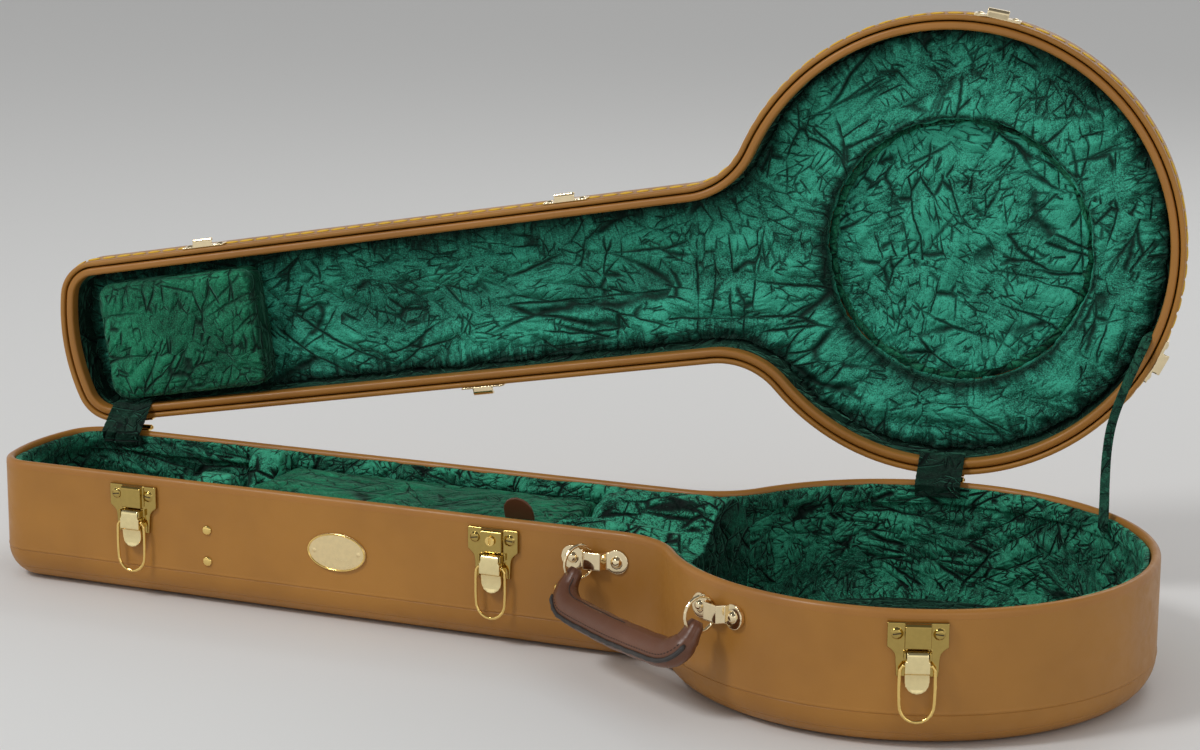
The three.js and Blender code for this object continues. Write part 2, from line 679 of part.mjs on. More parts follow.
// The handle's frame: x along its turning line, y away from that line through the middle of the grip
const handleAway = handleOut.clone().applyAxisAngle(handleAlong, -gripLean);
const handleFrame = new THREE.Matrix4()
  .makeBasis(handleAlong, handleAway, new THREE.Vector3().crossVectors(handleAlong, handleAway))
  .setPosition(handleCentre);

const ringAt = (x, wire) =>
  new THREE.TorusGeometry(bracket.ringRadius, wire, wireSides, 2 * domeSegments).rotateY(Math.PI / 2)
    .translate(x, 0, 0);

function makeGrip() {
  const reach = Math.hypot(grip.out, grip.drop);
  // Each row is how far along the span, how far away from the turning line and how full the section is
  const halfShares = [
    [0, 0.24, 0], [0, 0.42, 0.15], [0.005, 0.62, 0.6], [0.035, 0.82, 0.95], [0.1, 0.96, 1], [0.22, 1, 1],
    [0.38, 1.02, 1],
  ];
  const middleShares = [0.5, 1.03, 1];
  const mirrored = [...halfShares].reverse().map(([along, away, full]) => [1 - along, away, full]);
  const shares = [...halfShares, middleShares, ...mirrored];
  const path = shares.map(([along, away]) => vector(handleSpan * along, reach * away, 0));
  const rings = path.map((centre, i) => {
    const before = path[Math.max(i - 1, 0)];
    const after = path[Math.min(i + 1, path.length - 1)];
    const ahead = new THREE.Vector3().subVectors(after, before).normalize();
    const thickAxis = vector(ahead.y, -ahead.x, 0);
    const full = shares[i][2];
    const thick = THREE.MathUtils.lerp(grip.endThick, grip.thick, full);
    const deep = THREE.MathUtils.lerp(grip.endDeep, grip.deep, full);
    return arc(flatVector(0, 0), 1, 0, 2 * Math.PI, grip.sides, true).map((p) =>
      centre.clone().addScaledVector(thickAxis, -thick * p.x).addScaledVector(vector(0, 0, 1), deep * p.y));
  });
  const body = skin(rings, (p) => flatVector(p.x, p.z));
  return cut(body, ringAt(0, bracket.wire + softGap), ringAt(handleSpan, bracket.wire + softGap));
}

// Bare oval badge on the front of the neck
const badge = {
  fromHead: 353, height: 63.2, halfWidth: 28, halfHeight: 16.8, plate: 1.6, pinAcross: 21, pinRadius: 1.5,
  pinHeight: 0.7,
};

function makeBadge(frame) {
  const shape = new THREE.Shape();
  shape.absellipse(0, 0, badge.halfWidth, badge.halfHeight, 0, 2 * Math.PI, false, 0);
  const plate = extrude(shape, badge.plate + latch.back, { curveSegments: 2 * domeSegments })
    .translate(0, 0, -latch.back);
  const pins = [-1, 1].map((side) => dome(badge.pinRadius, badge.pinHeight, badge.plate / 2)
    .translate(side * badge.pinAcross, 0, badge.plate));
  return fitted(joined(plate, ...pins), frame);
}

// Rivets that hold the blocks inside
const rivet = {
  radius: 4.6, height: 2.4, cradleFromHead: 226, cradleUpper: 68.2, cradleLower: 40.4, heelFromHead: 558.7,
  heelHeight: 56.6,
};
const rivetPlaces = [
  { name: "cradle_rivet_upper", at: onNeck(rivet.cradleFromHead, -1)(rivet.cradleUpper) },
  { name: "cradle_rivet_lower", at: onNeck(rivet.cradleFromHead, -1)(rivet.cradleLower) },
  { name: "heel_rivet", at: onNeck(rivet.heelFromHead, -1)(rivet.heelHeight) },
];
const makeRivet = (frame) => fitted(dome(rivet.radius, rivet.height, latch.back), frame);

// The hinge line touches the outline at the head's back corner and at the bout
function findHingeOutAngle() {
  const endCentre = flatVector(headEndRadius - headReach, 0);
  const corner = centreOnLine(
    neckHalfWidth(0, -headCornerRadius), endCentre.x, headEndRadius - headCornerRadius);
  const towardsHead = Math.atan2(corner.y, corner.x);
  const spread = Math.acos((boutRadius - headCornerRadius) / corner.length());
  return towardsHead - spread;
}
const hingeOutAngle = findHingeOutAngle();
const hingeOut = vector(Math.cos(hingeOutAngle), Math.sin(hingeOutAngle), 0);
const hingeAlong = vector(hingeOut.y, -hingeOut.x, 0);
const hingeHeight = baseHeight + partingGap / 2;
const hingePoint = hingeOut.clone().multiplyScalar(boutRadius + hingeAxisOffset).setZ(hingeHeight);

// How far inside the hinge line the outline lies, at a place along that line
function insetFromHinge(along) {
  const points = outline(0).map((p) => {
    const arm = vector(p.x - hingePoint.x, p.y - hingePoint.y, 0);
    return flatVector(arm.dot(hingeAlong), -arm.dot(hingeOut));
  });
  const crossings = points.flatMap((p, i) => {
    const q = points[(i + 1) % points.length];
    const crosses = (p.x - along) * (q.x - along) <= 0 && p.x !== q.x;
    return crosses ? [THREE.MathUtils.lerp(p.y, q.y, (along - p.x) / (q.x - p.x))] : [];
  });
  return Math.min(...crossings);
}

const hinge = {
  halfWidth: 20, leaf: 1.6, leafHeight: 22, rimDrop: 1.2, barrel: 2.7, pin: 1.3, pinGap: 0.15, pinOver: 1,
  knuckleShare: 1 / 3, webHalf: 1, screwRadius: 2.4, screwHeight: 1, screwShare: 0.62,
};
const headHingeFromHead = 77;
const headHingeFromBoutHinge = headReach - headHingeFromHead;

// A hinge's frame in the closed case: x along the hinge line, y up, z outwards
const hingeFrame = (along) => new THREE.Matrix4()
  .makeBasis(hingeAlong.clone().negate(), vector(0, 0, 1), hingeOut)
  .setPosition(hingePoint.clone().addScaledVector(hingeAlong, along));

// A leaf that follows the wall, with its share of the knuckles. Side -1 is the base's leaf, 1 the lid's.
function makeLeaf(along, side) {
  const { halfWidth, leaf, leafHeight, rimDrop, barrel, pin, pinGap, knuckleShare, webHalf } = hinge;
  const inverse = hingeFrame(along).invert();
  const nearY = side * (partingGap / 2 + rimDrop);
  const farY = side * leafHeight;
  const deep = hingeAxisOffset + 2 * overrun;
  const plate = shared(prism(seatGap + leaf).applyMatrix4(inverse), box(
    vector(-halfWidth, Math.min(nearY, farY), -deep), vector(halfWidth, Math.max(nearY, farY), overrun)));
  const split = halfWidth * knuckleShare;
  const outerSpans = [[-halfWidth, -split], [split, halfWidth]];
  const innerSpans = [[runningGap - split, split - runningGap]];
  const rod = (radius, from, to) => new THREE.CylinderGeometry(radius, radius, to - from, domeSegments)
    .rotateZ(Math.PI / 2)
    .translate((from + to) / 2, 0, 0);
  const room = (side < 0 ? innerSpans : outerSpans)
    .map(([from, to]) => rod(barrel + runningGap, from - runningGap, to + runningGap));
  const knuckles = (side < 0 ? outerSpans : innerSpans).flatMap(([from, to]) => [
    rod(barrel, from, to),
    box(
      vector(from, Math.min(0, nearY + side * webHalf), -deep),
      vector(to, Math.max(0, nearY + side * webHalf), -barrel / 2)),
  ]);
  const bore = rod(pin + pinGap, -halfWidth - overrun, halfWidth + overrun);
  const screws = [-1, 1].map((across) => {
    const inset = insetFromHinge(along - across * halfWidth / 2);
    return dome(hinge.screwRadius, hinge.screwHeight, leaf)
      .translate(across * halfWidth / 2, side * leafHeight * hinge.screwShare, seatGap + leaf - inset);
  });
  return cut(joined(plate, ...knuckles, ...screws), bore, ...room, wallPrism.clone().applyMatrix4(inverse));
}

function makeHingePin() {
  const length = 2 * (hinge.halfWidth + hinge.pinOver);
  return new THREE.CylinderGeometry(hinge.pin, hinge.pin, length, domeSegments).rotateZ(Math.PI / 2);
}

// A strip across the open hinge, as [inwards, up, share of the lid] from the hinge line at each station.
// Its base end keeps its distance from the base's wall, and its lid end from the lid's.
function hingeStrip(alongs, points, thickness) {
  const stations = alongs.map((along) => {
    const inset = insetFromHinge(along);
    const middle = hingePoint.clone().addScaledVector(hingeAlong, along);
    const route = points.map(([inwards, up, lidShare]) => flatVector(
      inwards + inset * (1 - lidShare), up + inset * lidShare));
    const sides = [1, -1].map((side) => route.map((p, i) => {
      const ahead = route[Math.min(i + 1, route.length - 1)].clone()
        .sub(route[Math.max(i - 1, 0)])
        .normalize()
        .multiplyScalar(side * thickness / 2);
      return flatVector(p.x - ahead.y, p.y + ahead.x);
    }));
    return [...sides[0], ...sides[1].reverse()]
      .map((p) => middle.clone().addScaledVector(hingeOut, -p.x).add(vector(0, 0, p.y)));
  });
  return skin(stations, (p) => flatVector(p.clone().sub(hingePoint).dot(hingeOut), p.z));
}

const flap = { halfWidth: 20, thickness: 1.4, baseDrop: 12, lidDrop: 15, over: 5, valanceGap: 2.7 };

function makeFlap(along) {
  const valanceInner = -lidWallThickness - valance.groove - valance.width;
  const side = flap.thickness / 2 - Math.min(blockSide, valanceInner - flap.valanceGap);
  const routeShares = [[1, 0], [0.8, 0.35], [0.35, 0.65], [0, 1]];
  const route = [
    [side, -flap.baseDrop, 0],
    ...routeShares.map(([inward, lidShare]) => [
      (side + flap.over) * inward - flap.over * lidShare, side * (1 - inward), lidShare]),
    [-flap.lidDrop, side, 1],
  ];
  const alongs = [-1, -1 / 3, 1 / 3, 1].map((share) => along + flap.halfWidth * share);
  return hingeStrip(alongs, route, flap.thickness);
}

// Lid, drawn closed
const lidLow = baseHeight + partingGap;
const lidEdgeHeight = lidLow + lidDepth - lidEdgeRadius;
const lidBead = 1.4;

function makeLidWall() {
  const high = lidEdgeHeight - seatGap;
  const inner = -lidWallThickness;
  return band([
    [0, lidLow + lidBead], [0, high], [inner, high], [inner, lidLow + lidBead],
    [inner + lidBead, lidLow], [-lidBead, lidLow],
  ]);
}

function makeLidPanel() {
  return bowl([
    ...roundEdge(lidEdgeRadius, lidEdgeHeight, lidEdgeRadius - panelThickness, Math.PI / 2, 0),
    ...roundEdge(lidEdgeRadius, lidEdgeHeight, lidEdgeRadius, 0, Math.PI / 2),
  ]);
}

// The covered band just inside the lid's edge, behind a narrow groove
const valance = { groove: 1.3, width: 7, height: 12, round: 2.2 };

function makeValance() {
  const { groove, width, height, round } = valance;
  const outer = -lidWallThickness - groove;
  const inner = outer - width;
  return band([
    [outer, lidLow + round], [outer, lidLow + height], [inner, lidLow + height],
    [inner, lidLow + round], [inner + round, lidLow], [outer - round, lidLow],
  ]);
}

const lidLiningThickness = 6.4;
const lidLiningBack = -lidWallThickness - 2 * softGap;
const lidLiningFace = lidLiningBack - lidLiningThickness;

function makeLidLining() {
  const low = lidLow + valance.height + softGap;
  const high = lidEdgeHeight - softGap;
  return band([[lidLiningBack, low], [lidLiningBack, high], [lidLiningFace, high], [lidLiningFace, low]]);
}

// The crowned pad on the lid's inner face, open over the bout round a thinner round pad
const lidPad = {
  crown: 27, sideLow: 33, sideRound: 5.4,
  recessThickness: 7.4, recessRadius: 113, recessX: 4, recessY: 8, recessCrown: 2,
};
const lidPadBack = lidDepth - panelThickness - 2 * seatGap;
const recessDepth = lidPadBack - lidPad.recessThickness;

function makeLidPad() {
  const { crown, sideLow, sideRound, recessRadius, recessX, recessY } = lidPad;
  const side = lidLiningFace - softGap;
  const crownShares = [[5, 0], [2, 0.2], [0.7, 0.5], [0.15, 0.8], [0, 1.2]];
  const rise = sideLow - crown;
  const pad = bowl([
    ...crownShares.map(([inset, up]) => [side - rise * inset, lidLow + crown + rise * up]),
    [side, lidLow + lidPadBack - sideRound],
    [-lidEdgeRadius - softGap, lidLow + lidPadBack],
  ]);
  const slopeShares = [[1.06, 0], [1.01, 0.25], [1, 0.75]];
  const slope = slopeShares
    .map(([out, up]) => flatVector(recessRadius * out, crown + (recessDepth - crown) * up));
  const profile = [
    flatVector(0, crown - overrun),
    flatVector(slope[0].x, crown - overrun),
    ...slope,
    flatVector(recessRadius, lidPadBack + overrun),
    flatVector(0, lidPadBack + overrun),
  ];
  const recess = new THREE.LatheGeometry(profile, 2 * boutSegments)
    .rotateX(Math.PI / 2)
    .translate(recessX, recessY, lidLow);
  return cut(pad, recess);
}

// The round pad at the bottom of the recess
function makeRecessPad() {
  const { recessRadius, recessX, recessY, recessCrown } = lidPad;
  const radius = recessRadius - softGap;
  const crownShares = [[0, 0], [0.6, 0.15], [0.92, 0.6], [1, 1]];
  const profile = [
    ...crownShares.map(([out, up]) => flatVector(radius * out, recessDepth + recessCrown * up)),
    flatVector(radius, lidPadBack),
    flatVector(0, lidPadBack),
  ];
  return new THREE.LatheGeometry(profile, 2 * boutSegments)
    .rotateX(Math.PI / 2)
    .translate(recessX, recessY, lidLow);
}

const lidBlock = { fromHead: 42, length: 156, low: -54, high: 57, proud: 7, corner: 14, soft: 9 };

function makeLidBlock() {
  const { fromHead, length, low, high, proud, corner, soft } = lidBlock;
  const start = fromHead - headReach;
  const bottom = lidLow - proud;
  const levelShares = [[1.4, 0], [0.5, 0.12], [0.12, 0.5], [0, 1]];
  return softSlab(flatVector(start, low), flatVector(start + length, high), corner, [
    ...levelShares.map(([inset, up]) => [soft * inset, bottom + soft * up]),
    [0, lidLow + lidPad.crown - softGap],
  ]);
}

const closedToOpen = new THREE.Matrix4()
  .makeTranslation(hingePoint.x, hingePoint.y, hingePoint.z)
  .multiply(new THREE.Matrix4().makeRotationAxis(hingeAlong, -lidOpenAngle))
  .multiply(new THREE.Matrix4().makeTranslation(-hingePoint.x, -hingePoint.y, -hingePoint.z));

// Stay strap: out of the lid over its edge, slack down to the base and in behind the base's rim
const strap = {
  lidDegrees: 32, baseDegrees: 45, lidReach: 16, baseReach: 12, out: 2, halfWidth: 8, thickness: 1.8,
  sag: 7, gap: 0.9, twistFromShare: 0.1, twistToShare: 0.9,
};

function makeStrap() {
  const place = (degrees, radius, z) => {
    const angle = THREE.MathUtils.degToRad(degrees);
    return vector(radius * Math.cos(angle), radius * Math.sin(angle), z);
  };
  const around = (degrees) => place(degrees + 90, 1, 0);
  const turned = (direction) => direction.clone().transformDirection(closedToOpen);
  const valanceInner = boutRadius - lidWallThickness - valance.groove - valance.width;
  const lidRadius = valanceInner - strap.gap - strap.thickness / 2;
  const baseRadius = wellRadius - strap.gap - strap.thickness / 2;
  const { lidDegrees, baseDegrees, lidReach, baseReach, out, twistFromShare, twistToShare } = strap;
  const start = place(lidDegrees, lidRadius, lidLow + lidReach).applyMatrix4(closedToOpen);
  const overLid = place(lidDegrees, lidRadius, lidLow - out).applyMatrix4(closedToOpen);
  const overBase = place(baseDegrees, baseRadius, baseHeight + out);
  const end = place(baseDegrees, baseRadius, baseHeight - baseReach);
  const slack = overLid.clone().lerp(overBase, 1 / 2).add(vector(0, 0, -strap.sag));
  const path = new THREE.CatmullRomCurve3([start, overLid, slack, overBase, end], false, "centripetal");
  const rings = [];
  for (let i = 0; i <= strapSteps; i++) {
    const share = i / strapSteps;
    const ahead = path.getTangent(share);
    const twist = THREE.MathUtils.smoothstep(share, twistFromShare, twistToShare);
    const across = turned(around(lidDegrees))
      .lerp(around(baseDegrees), twist)
      .projectOnPlane(ahead)
      .normalize();
    const through = new THREE.Vector3().crossVectors(ahead, across);
    const corners = [[-1, -1], [1, -1], [1, 1], [-1, 1]];
    rings.push(corners.map(([a, t]) => path.getPoint(share)
      .addScaledVector(across, a * strap.halfWidth)
      .addScaledVector(through, t * strap.thickness / 2)));
  }
  const first = path.getTangent(0);
  const across = turned(around(lidDegrees));
  const through = new THREE.Vector3().crossVectors(first, across);
  return skin(rings, (p) => flatVector(p.dot(across), p.dot(through)));
}

// Assembly
const base = new THREE.Group();
base.add(
  piece("base_tray", makeBaseTray(), tan),
  piece("base_wall", makeBaseWall(), tan),
  piece("base_rim", makeBaseRim(), tanEdge),
  piece("base_lining", makeBaseLining(), velvet),
  piece("bout_floor_pad", makeBoutPad(), velvet),
  piece("neck_floor_pad", makeNeckPad(), velvet),
  piece("heel_block", makeHeelBlock(), velvet),
  piece("neck_cradle", makeCradle(), velvet),
  piece("accessory_ledge_front", makeLedge(-1), velvet),
  piece("accessory_ledge_back", makeLedge(1), velvet),
  piece("accessory_lid", makeAccessoryLid(), velvet),
  piece("accessory_tab", makeTab(), leather),
);
latchPlaces.forEach((place) => base.add(makeLatch(place)));

const badgeFrame = onNeck(badge.fromHead, -1)(badge.height);
base.add(placed(badgeFrame, piece("badge_plate", makeBadge(badgeFrame), brass)));
rivetPlaces.forEach(({ name, at }) => base.add(placed(at, piece(name, makeRivet(at), brass))));
base.add(
  placed(leftBracketFrame, piece("handle_bracket_left", makeBracket(leftBracketFrame), brass)),
  placed(rightBracketFrame, piece("handle_bracket_right", makeBracket(rightBracketFrame), brass)),
  placed(
    handleFrame,
    piece("handle_grip", makeGrip(), leather),
    piece("handle_ring_left", ringAt(0, bracket.wire), brass),
    piece("handle_ring_right", ringAt(handleSpan, bracket.wire), brass),
  ),
);

const lid = new THREE.Group();
lid.add(
  piece("lid_wall", makeLidWall(), tan),
  piece("lid_panel", makeLidPanel(), tan),
  piece("lid_valance", makeValance(), tanEdge),
  piece("lid_lining", makeLidLining(), velvet),
  piece("lid_pad", makeLidPad(), velvet),
  piece("lid_recess_pad", makeRecessPad(), velvet),
  piece("lid_headstock_block", makeLidBlock(), velvet),
);
latchPlaces.forEach(({ name, at }) => {
  const frame = at(lidLow);
  lid.add(placed(frame, piece("catch_" + name, fitted(makeCatch(), frame), brass)));
});

[["head", -headHingeFromBoutHinge], ["bout", 0]].forEach(([name, along]) => {
  const frame = hingeFrame(along);
  base.add(placed(
    frame,
    piece("hinge_leaf_base_" + name, makeLeaf(along, -1), brass),
    piece("hinge_pin_" + name, makeHingePin(), brass),
  ));
  lid.add(placed(frame, piece("hinge_leaf_lid_" + name, makeLeaf(along, 1), brass)));
  base.add(piece("hinge_flap_" + name, makeFlap(along), velvet));
});
base.add(piece("stay_strap", makeStrap(), velvet));

const openLid = new THREE.Group();
closedToOpen.decompose(openLid.position, openLid.quaternion, openLid.scale);
openLid.add(lid);

const banjoCase = new THREE.Group();
banjoCase.add(base, openLid);
export default banjoCase;
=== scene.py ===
import bpy
import bmesh
import json
from math import acos, atan, atan2, cos, hypot, pi, radians, sin, sqrt
from mathutils import Matrix, Vector
from mathutils.kdtree import KDTree


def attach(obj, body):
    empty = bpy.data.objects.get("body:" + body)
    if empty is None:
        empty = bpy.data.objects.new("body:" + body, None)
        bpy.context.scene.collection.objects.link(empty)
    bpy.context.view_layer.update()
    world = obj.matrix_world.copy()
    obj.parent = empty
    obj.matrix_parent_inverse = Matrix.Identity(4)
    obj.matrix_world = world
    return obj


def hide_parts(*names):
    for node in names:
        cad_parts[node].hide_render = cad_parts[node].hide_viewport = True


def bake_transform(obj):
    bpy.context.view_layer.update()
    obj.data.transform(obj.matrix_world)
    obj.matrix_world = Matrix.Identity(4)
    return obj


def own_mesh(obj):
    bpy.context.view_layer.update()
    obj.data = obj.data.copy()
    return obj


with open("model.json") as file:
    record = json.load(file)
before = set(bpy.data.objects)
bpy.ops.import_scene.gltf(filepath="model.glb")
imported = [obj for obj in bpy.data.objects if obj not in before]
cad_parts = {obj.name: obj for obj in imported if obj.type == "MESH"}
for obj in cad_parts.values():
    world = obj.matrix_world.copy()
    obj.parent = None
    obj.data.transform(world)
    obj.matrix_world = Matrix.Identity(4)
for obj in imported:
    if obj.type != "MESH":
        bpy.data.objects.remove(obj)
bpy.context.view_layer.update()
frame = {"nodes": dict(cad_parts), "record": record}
nodes = frame["nodes"]
mm = 0.001


def linked(name, data):
    made = bpy.data.objects.new(name, data)
    bpy.context.scene.collection.objects.link(made)
    return made


# Camera: fitted to the photograph's view of the case
cameraValues = {
    "place": (646.37, -2187.16, 733.45), "yaw": -22.78, "pitch": -12.332, "roll": 0.375,
    "lens": 87.40, "shiftX": 0.0011, "shiftY": 0.0052,
}


def makeCamera(v):
    yaw, pitch, roll = radians(v["yaw"]), radians(v["pitch"]), radians(v["roll"])
    ahead = Vector((sin(yaw) * cos(pitch), cos(yaw) * cos(pitch), sin(pitch)))
    level = Vector((cos(yaw), -sin(yaw), 0))
    up = level.cross(ahead)
    right = cos(roll) * level + sin(roll) * up
    top = cos(roll) * up - sin(roll) * level
    data = bpy.data.cameras.new("camera")
    data.lens, data.sensor_width = v["lens"], 36
    data.shift_x, data.shift_y = v["shiftX"], v["shiftY"]
    camera = linked("camera", data)
    turn = Matrix((right, top, -ahead)).transposed().to_4x4()
    camera.matrix_world = Matrix.Translation(Vector(v["place"]) * mm) @ turn
    bpy.context.scene.camera = camera


makeCamera(cameraValues)


# Node tree helpers

def addNode(tree, kind, inputs=None, **settings):
    node = tree.nodes.new(kind)
    for name, value in settings.items():
        setattr(node, name, value)
    for name, value in (inputs or {}).items():
        socket = node.inputs[name]
        if isinstance(value, bpy.types.NodeSocket):
            tree.links.new(value, socket)
        else:
            socket.default_value = value
    return node


def calc(tree, operation, a, b=0.0, c=0.0):
    return addNode(tree, "ShaderNodeMath", {0: a, 1: b, 2: c}, operation=operation).outputs[0]


def vectorCalc(tree, operation, a, b=(0, 0, 0)):
    return addNode(tree, "ShaderNodeVectorMath", {0: a, 1: b}, operation=operation).outputs[0]


def rangeOf(tree, value, fromMin, fromMax, toMin=0.0, toMax=1.0):
    return addNode(tree, "ShaderNodeMapRange", {
        "Value": value, "From Min": fromMin, "From Max": fromMax, "To Min": toMin, "To Max": toMax,
    }, interpolation_type="SMOOTHSTEP").outputs["Result"]


def noiseOf(tree, coordinates, scale, detail=2.0, rough=0.5, distortion=0.0):
    return addNode(tree, "ShaderNodeTexNoise", {
        "Vector": coordinates, "Scale": scale, "Detail": detail, "Roughness": rough, "Distortion": distortion,
    })


def mixColors(tree, share, a, b):
    return addNode(tree, "ShaderNodeMix", {0: share, 6: a, 7: b}, data_type="RGBA").outputs[2]


def newGroup(name, kind, inputs, outputs):
    tree = bpy.data.node_groups.new(name, kind)
    for label, socketKind, value in inputs:
        socket = tree.interface.new_socket(label, in_out="INPUT", socket_type="NodeSocket" + socketKind)
        if value is not None:
            socket.default_value = value
    for label, socketKind in outputs:
        tree.interface.new_socket(label, in_out="OUTPUT", socket_type="NodeSocket" + socketKind)
    start = tree.nodes.new("NodeGroupInput")
    end = tree.nodes.new("NodeGroupOutput")
    return tree, start.outputs, end.inputs


# Crushed plush: the same folds shape the cloth and colour it, with painted shade in the creases.
foldLayers = (
    # patches and folds per metre, slimness, height, half width and painted shade (darkness) of the crease, range of
    # the folds' angles
    (7, 30, 0.20, 1.0, 0.0014, 0.97, 1.5),
    (13, 62, 0.28, 0.55, 0.0011, 0.92, 3.4),
    (28, 135, 0.42, 0.26, 0.0007, 0.75, 6.28),
)
creaseValues = {
    "warpScale": 24, "warp": 0.010, "fibreScale": 520, "fibreWidth": 0.05, "pleatScale": 60, "pleatReach": 0.03,
    "pleatSlope": 9, "swellScale": 15, "layers": foldLayers,
}


def lineOf(tree, value, width):
    away = calc(tree, "ABSOLUTE", calc(tree, "SUBTRACT", value, 0.5))
    return rangeOf(tree, away, 0.0, width, 1.0, 0.0)


def creaseNodes(tree, laid, edge, v=creaseValues):
    warp = vectorCalc(tree, "SUBTRACT", noiseOf(tree, laid, v["warpScale"], 3).outputs["Color"], (0.5, 0.5, 0.5))
    warp = addNode(tree, "ShaderNodeVectorMath", {0: warp, "Scale": v["warp"]}, operation="SCALE").outputs[0]
    bent = vectorCalc(tree, "ADD", laid, warp)
    height, deep, spin = 0.0, 0.0, laid
    for i, (patches, folds, slim, tall, width, darkness, spread) in enumerate(v["layers"]):
        moved = vectorCalc(tree, "ADD", bent, (0.37 * i, 0.21 * i, 0.53 * i))
        patch = addNode(tree, "ShaderNodeTexVoronoi", {"Vector": moved, "Scale": patches}, feature="F1")
        weight = rangeOf(tree, patch.outputs["Distance"], 0.5, 0.85, 1.0, 0.15)
        angle = addNode(tree, "ShaderNodeSeparateXYZ", {0: patch.outputs["Color"]}).outputs[0]
        spin = addNode(tree, "ShaderNodeVectorRotate", {
            "Vector": moved, "Angle": calc(tree, "MULTIPLY_ADD", angle, spread, (pi - spread) / 2),
        }, rotation_type="Z_AXIS").outputs[0]
        slimmed = vectorCalc(tree, "MULTIPLY", spin, (1, slim, 0.7))
        fold = addNode(tree, "ShaderNodeTexVoronoi", {
            "Vector": slimmed, "Scale": folds}, feature="DISTANCE_TO_EDGE").outputs["Distance"]
        bulge = rangeOf(tree, fold, 0.0, 0.32)
        height = calc(tree, "MULTIPLY_ADD", calc(tree, "MULTIPLY", bulge, weight), tall, height)
        # The crease lines (deep) are painted dark in the colour: painted shade in the creases.
        there = rangeOf(tree, noiseOf(tree, laid, folds * 0.5, 1).outputs[0], 0.40, 0.56)
        reach = calc(tree, "MULTIPLY_ADD", there, width * folds, 0.004)
        line = rangeOf(tree, fold, 0.0, reach, 1.0, 0.0)
        line = calc(tree, "MULTIPLY", line, calc(tree, "MULTIPLY", weight, there))
        deep = calc(tree, "MAXIMUM", calc(tree, "MULTIPLY", line, darkness), deep)
    fibre = noiseOf(tree, vectorCalc(tree, "MULTIPLY", spin, (1, 0.22, 0.7)), v["fibreScale"], 2, 0.6, 0.8).outputs[0]
    parts = addNode(tree, "ShaderNodeSeparateXYZ", {0: edge}).outputs
    fanned = addNode(tree, "ShaderNodeCombineXYZ", {
        0: calc(tree, "MULTIPLY", parts[0], v["pleatScale"]), 1: calc(tree, "MULTIPLY", parts[1], v["pleatSlope"]),
    }).outputs[0]
    ridge = noiseOf(tree, fanned, 1.0, 3, 0.6, 1.0).outputs[0]
    ridge = calc(tree, "SUBTRACT", 1.0, calc(tree, "ABSOLUTE", calc(tree, "MULTIPLY_ADD", ridge, 7.0, -3.5)))
    near = rangeOf(tree, parts[1], 0.002, v["pleatReach"], 1.0, 0.0)
    pleat = calc(tree, "MULTIPLY", calc(tree, "POWER", calc(tree, "MAXIMUM", ridge, 0.0), 2.0), near)
    swell = noiseOf(tree, bent, v["swellScale"], 2, 0.5).outputs[0]
    return {"height": height, "deep": deep, "fibre": fibre, "pleat": pleat, "swell": swell, "inward": parts[1],
            "paintedShade": parts[2]}


def makePileGroup(v=creaseValues):
    tree, given, out = newGroup(
        "crushedPile", "ShaderNodeTree",
        [("Laid", "Vector", None), ("Edge", "Vector", None),
         ("Darkness", "Float", 1.0), ("Contrast", "Float", 1.0)],
        [("Shade", "Float"), ("Height", "Float")])
    laid = given["Laid"]
    crease = creaseNodes(tree, laid, given["Edge"])
    fibre = crease["fibre"]
    pile = noiseOf(tree, laid, 1000, 1, 0.6).outputs[0]
    rub = rangeOf(tree, noiseOf(tree, laid, 15, 4, 0.65, 1.2).outputs[0], 0.34, 0.64)
    patch = noiseOf(tree, laid, 110, 3, 0.6, 0.8).outputs[0]
    shade = calc(tree, "MULTIPLY_ADD", rub, 0.38, 0.54)
    # patch, fibre and pile vary the tone at random; the swell share makes the cloth lighter where it swells higher:
    # painted highlight.
    for value, share in ((patch, 0.8), (fibre, 0.6), (pile, 2.0), (crease["swell"], 0.8)):
        shade = calc(tree, "MULTIPLY_ADD", calc(tree, "SUBTRACT", value, 0.5), share, shade)
    # Painted highlight: the higher folds are lighter.
    shade = calc(tree, "MULTIPLY_ADD", crease["height"], 0.22, shade)
    hairline = lineOf(tree, fibre, v["fibreWidth"])
    # Painted shade: the creases and the pleats are darkened; the hairlines are lines of the pile itself.
    for value, share in ((crease["deep"], -0.97), (hairline, -0.3), (crease["pleat"], -0.75)):
        shade = calc(tree, "MULTIPLY", shade, calc(tree, "MULTIPLY_ADD", value, share, 1.0))
    # Painted shade along the borders of the cloth, darkest at the seam.
    shade = calc(tree, "MULTIPLY", shade, rangeOf(tree, crease["inward"], 0.0, 0.016, 0.1, 1.0))
    shade = calc(tree, "POWER", calc(tree, "MAXIMUM", shade, 0.0), given["Contrast"])
    # Darkness sets each material's level; the third part of the edge attribute darkens it with painted shade.
    shade = calc(tree, "MULTIPLY", calc(tree, "MULTIPLY", shade, given["Darkness"]), calc(
        tree, "SUBTRACT", 1.0, crease["paintedShade"]))
    tree.links.new(shade, out["Shade"])
    relief = calc(tree, "MAXIMUM", crease["deep"], crease["pleat"])
    relief = calc(tree, "MULTIPLY_ADD", relief, -0.8, crease["height"])
    relief = calc(tree, "MULTIPLY_ADD", fibre, 0.12, relief)
    tree.links.new(calc(tree, "MULTIPLY_ADD", patch, 0.2, relief), out["Height"])
    return tree


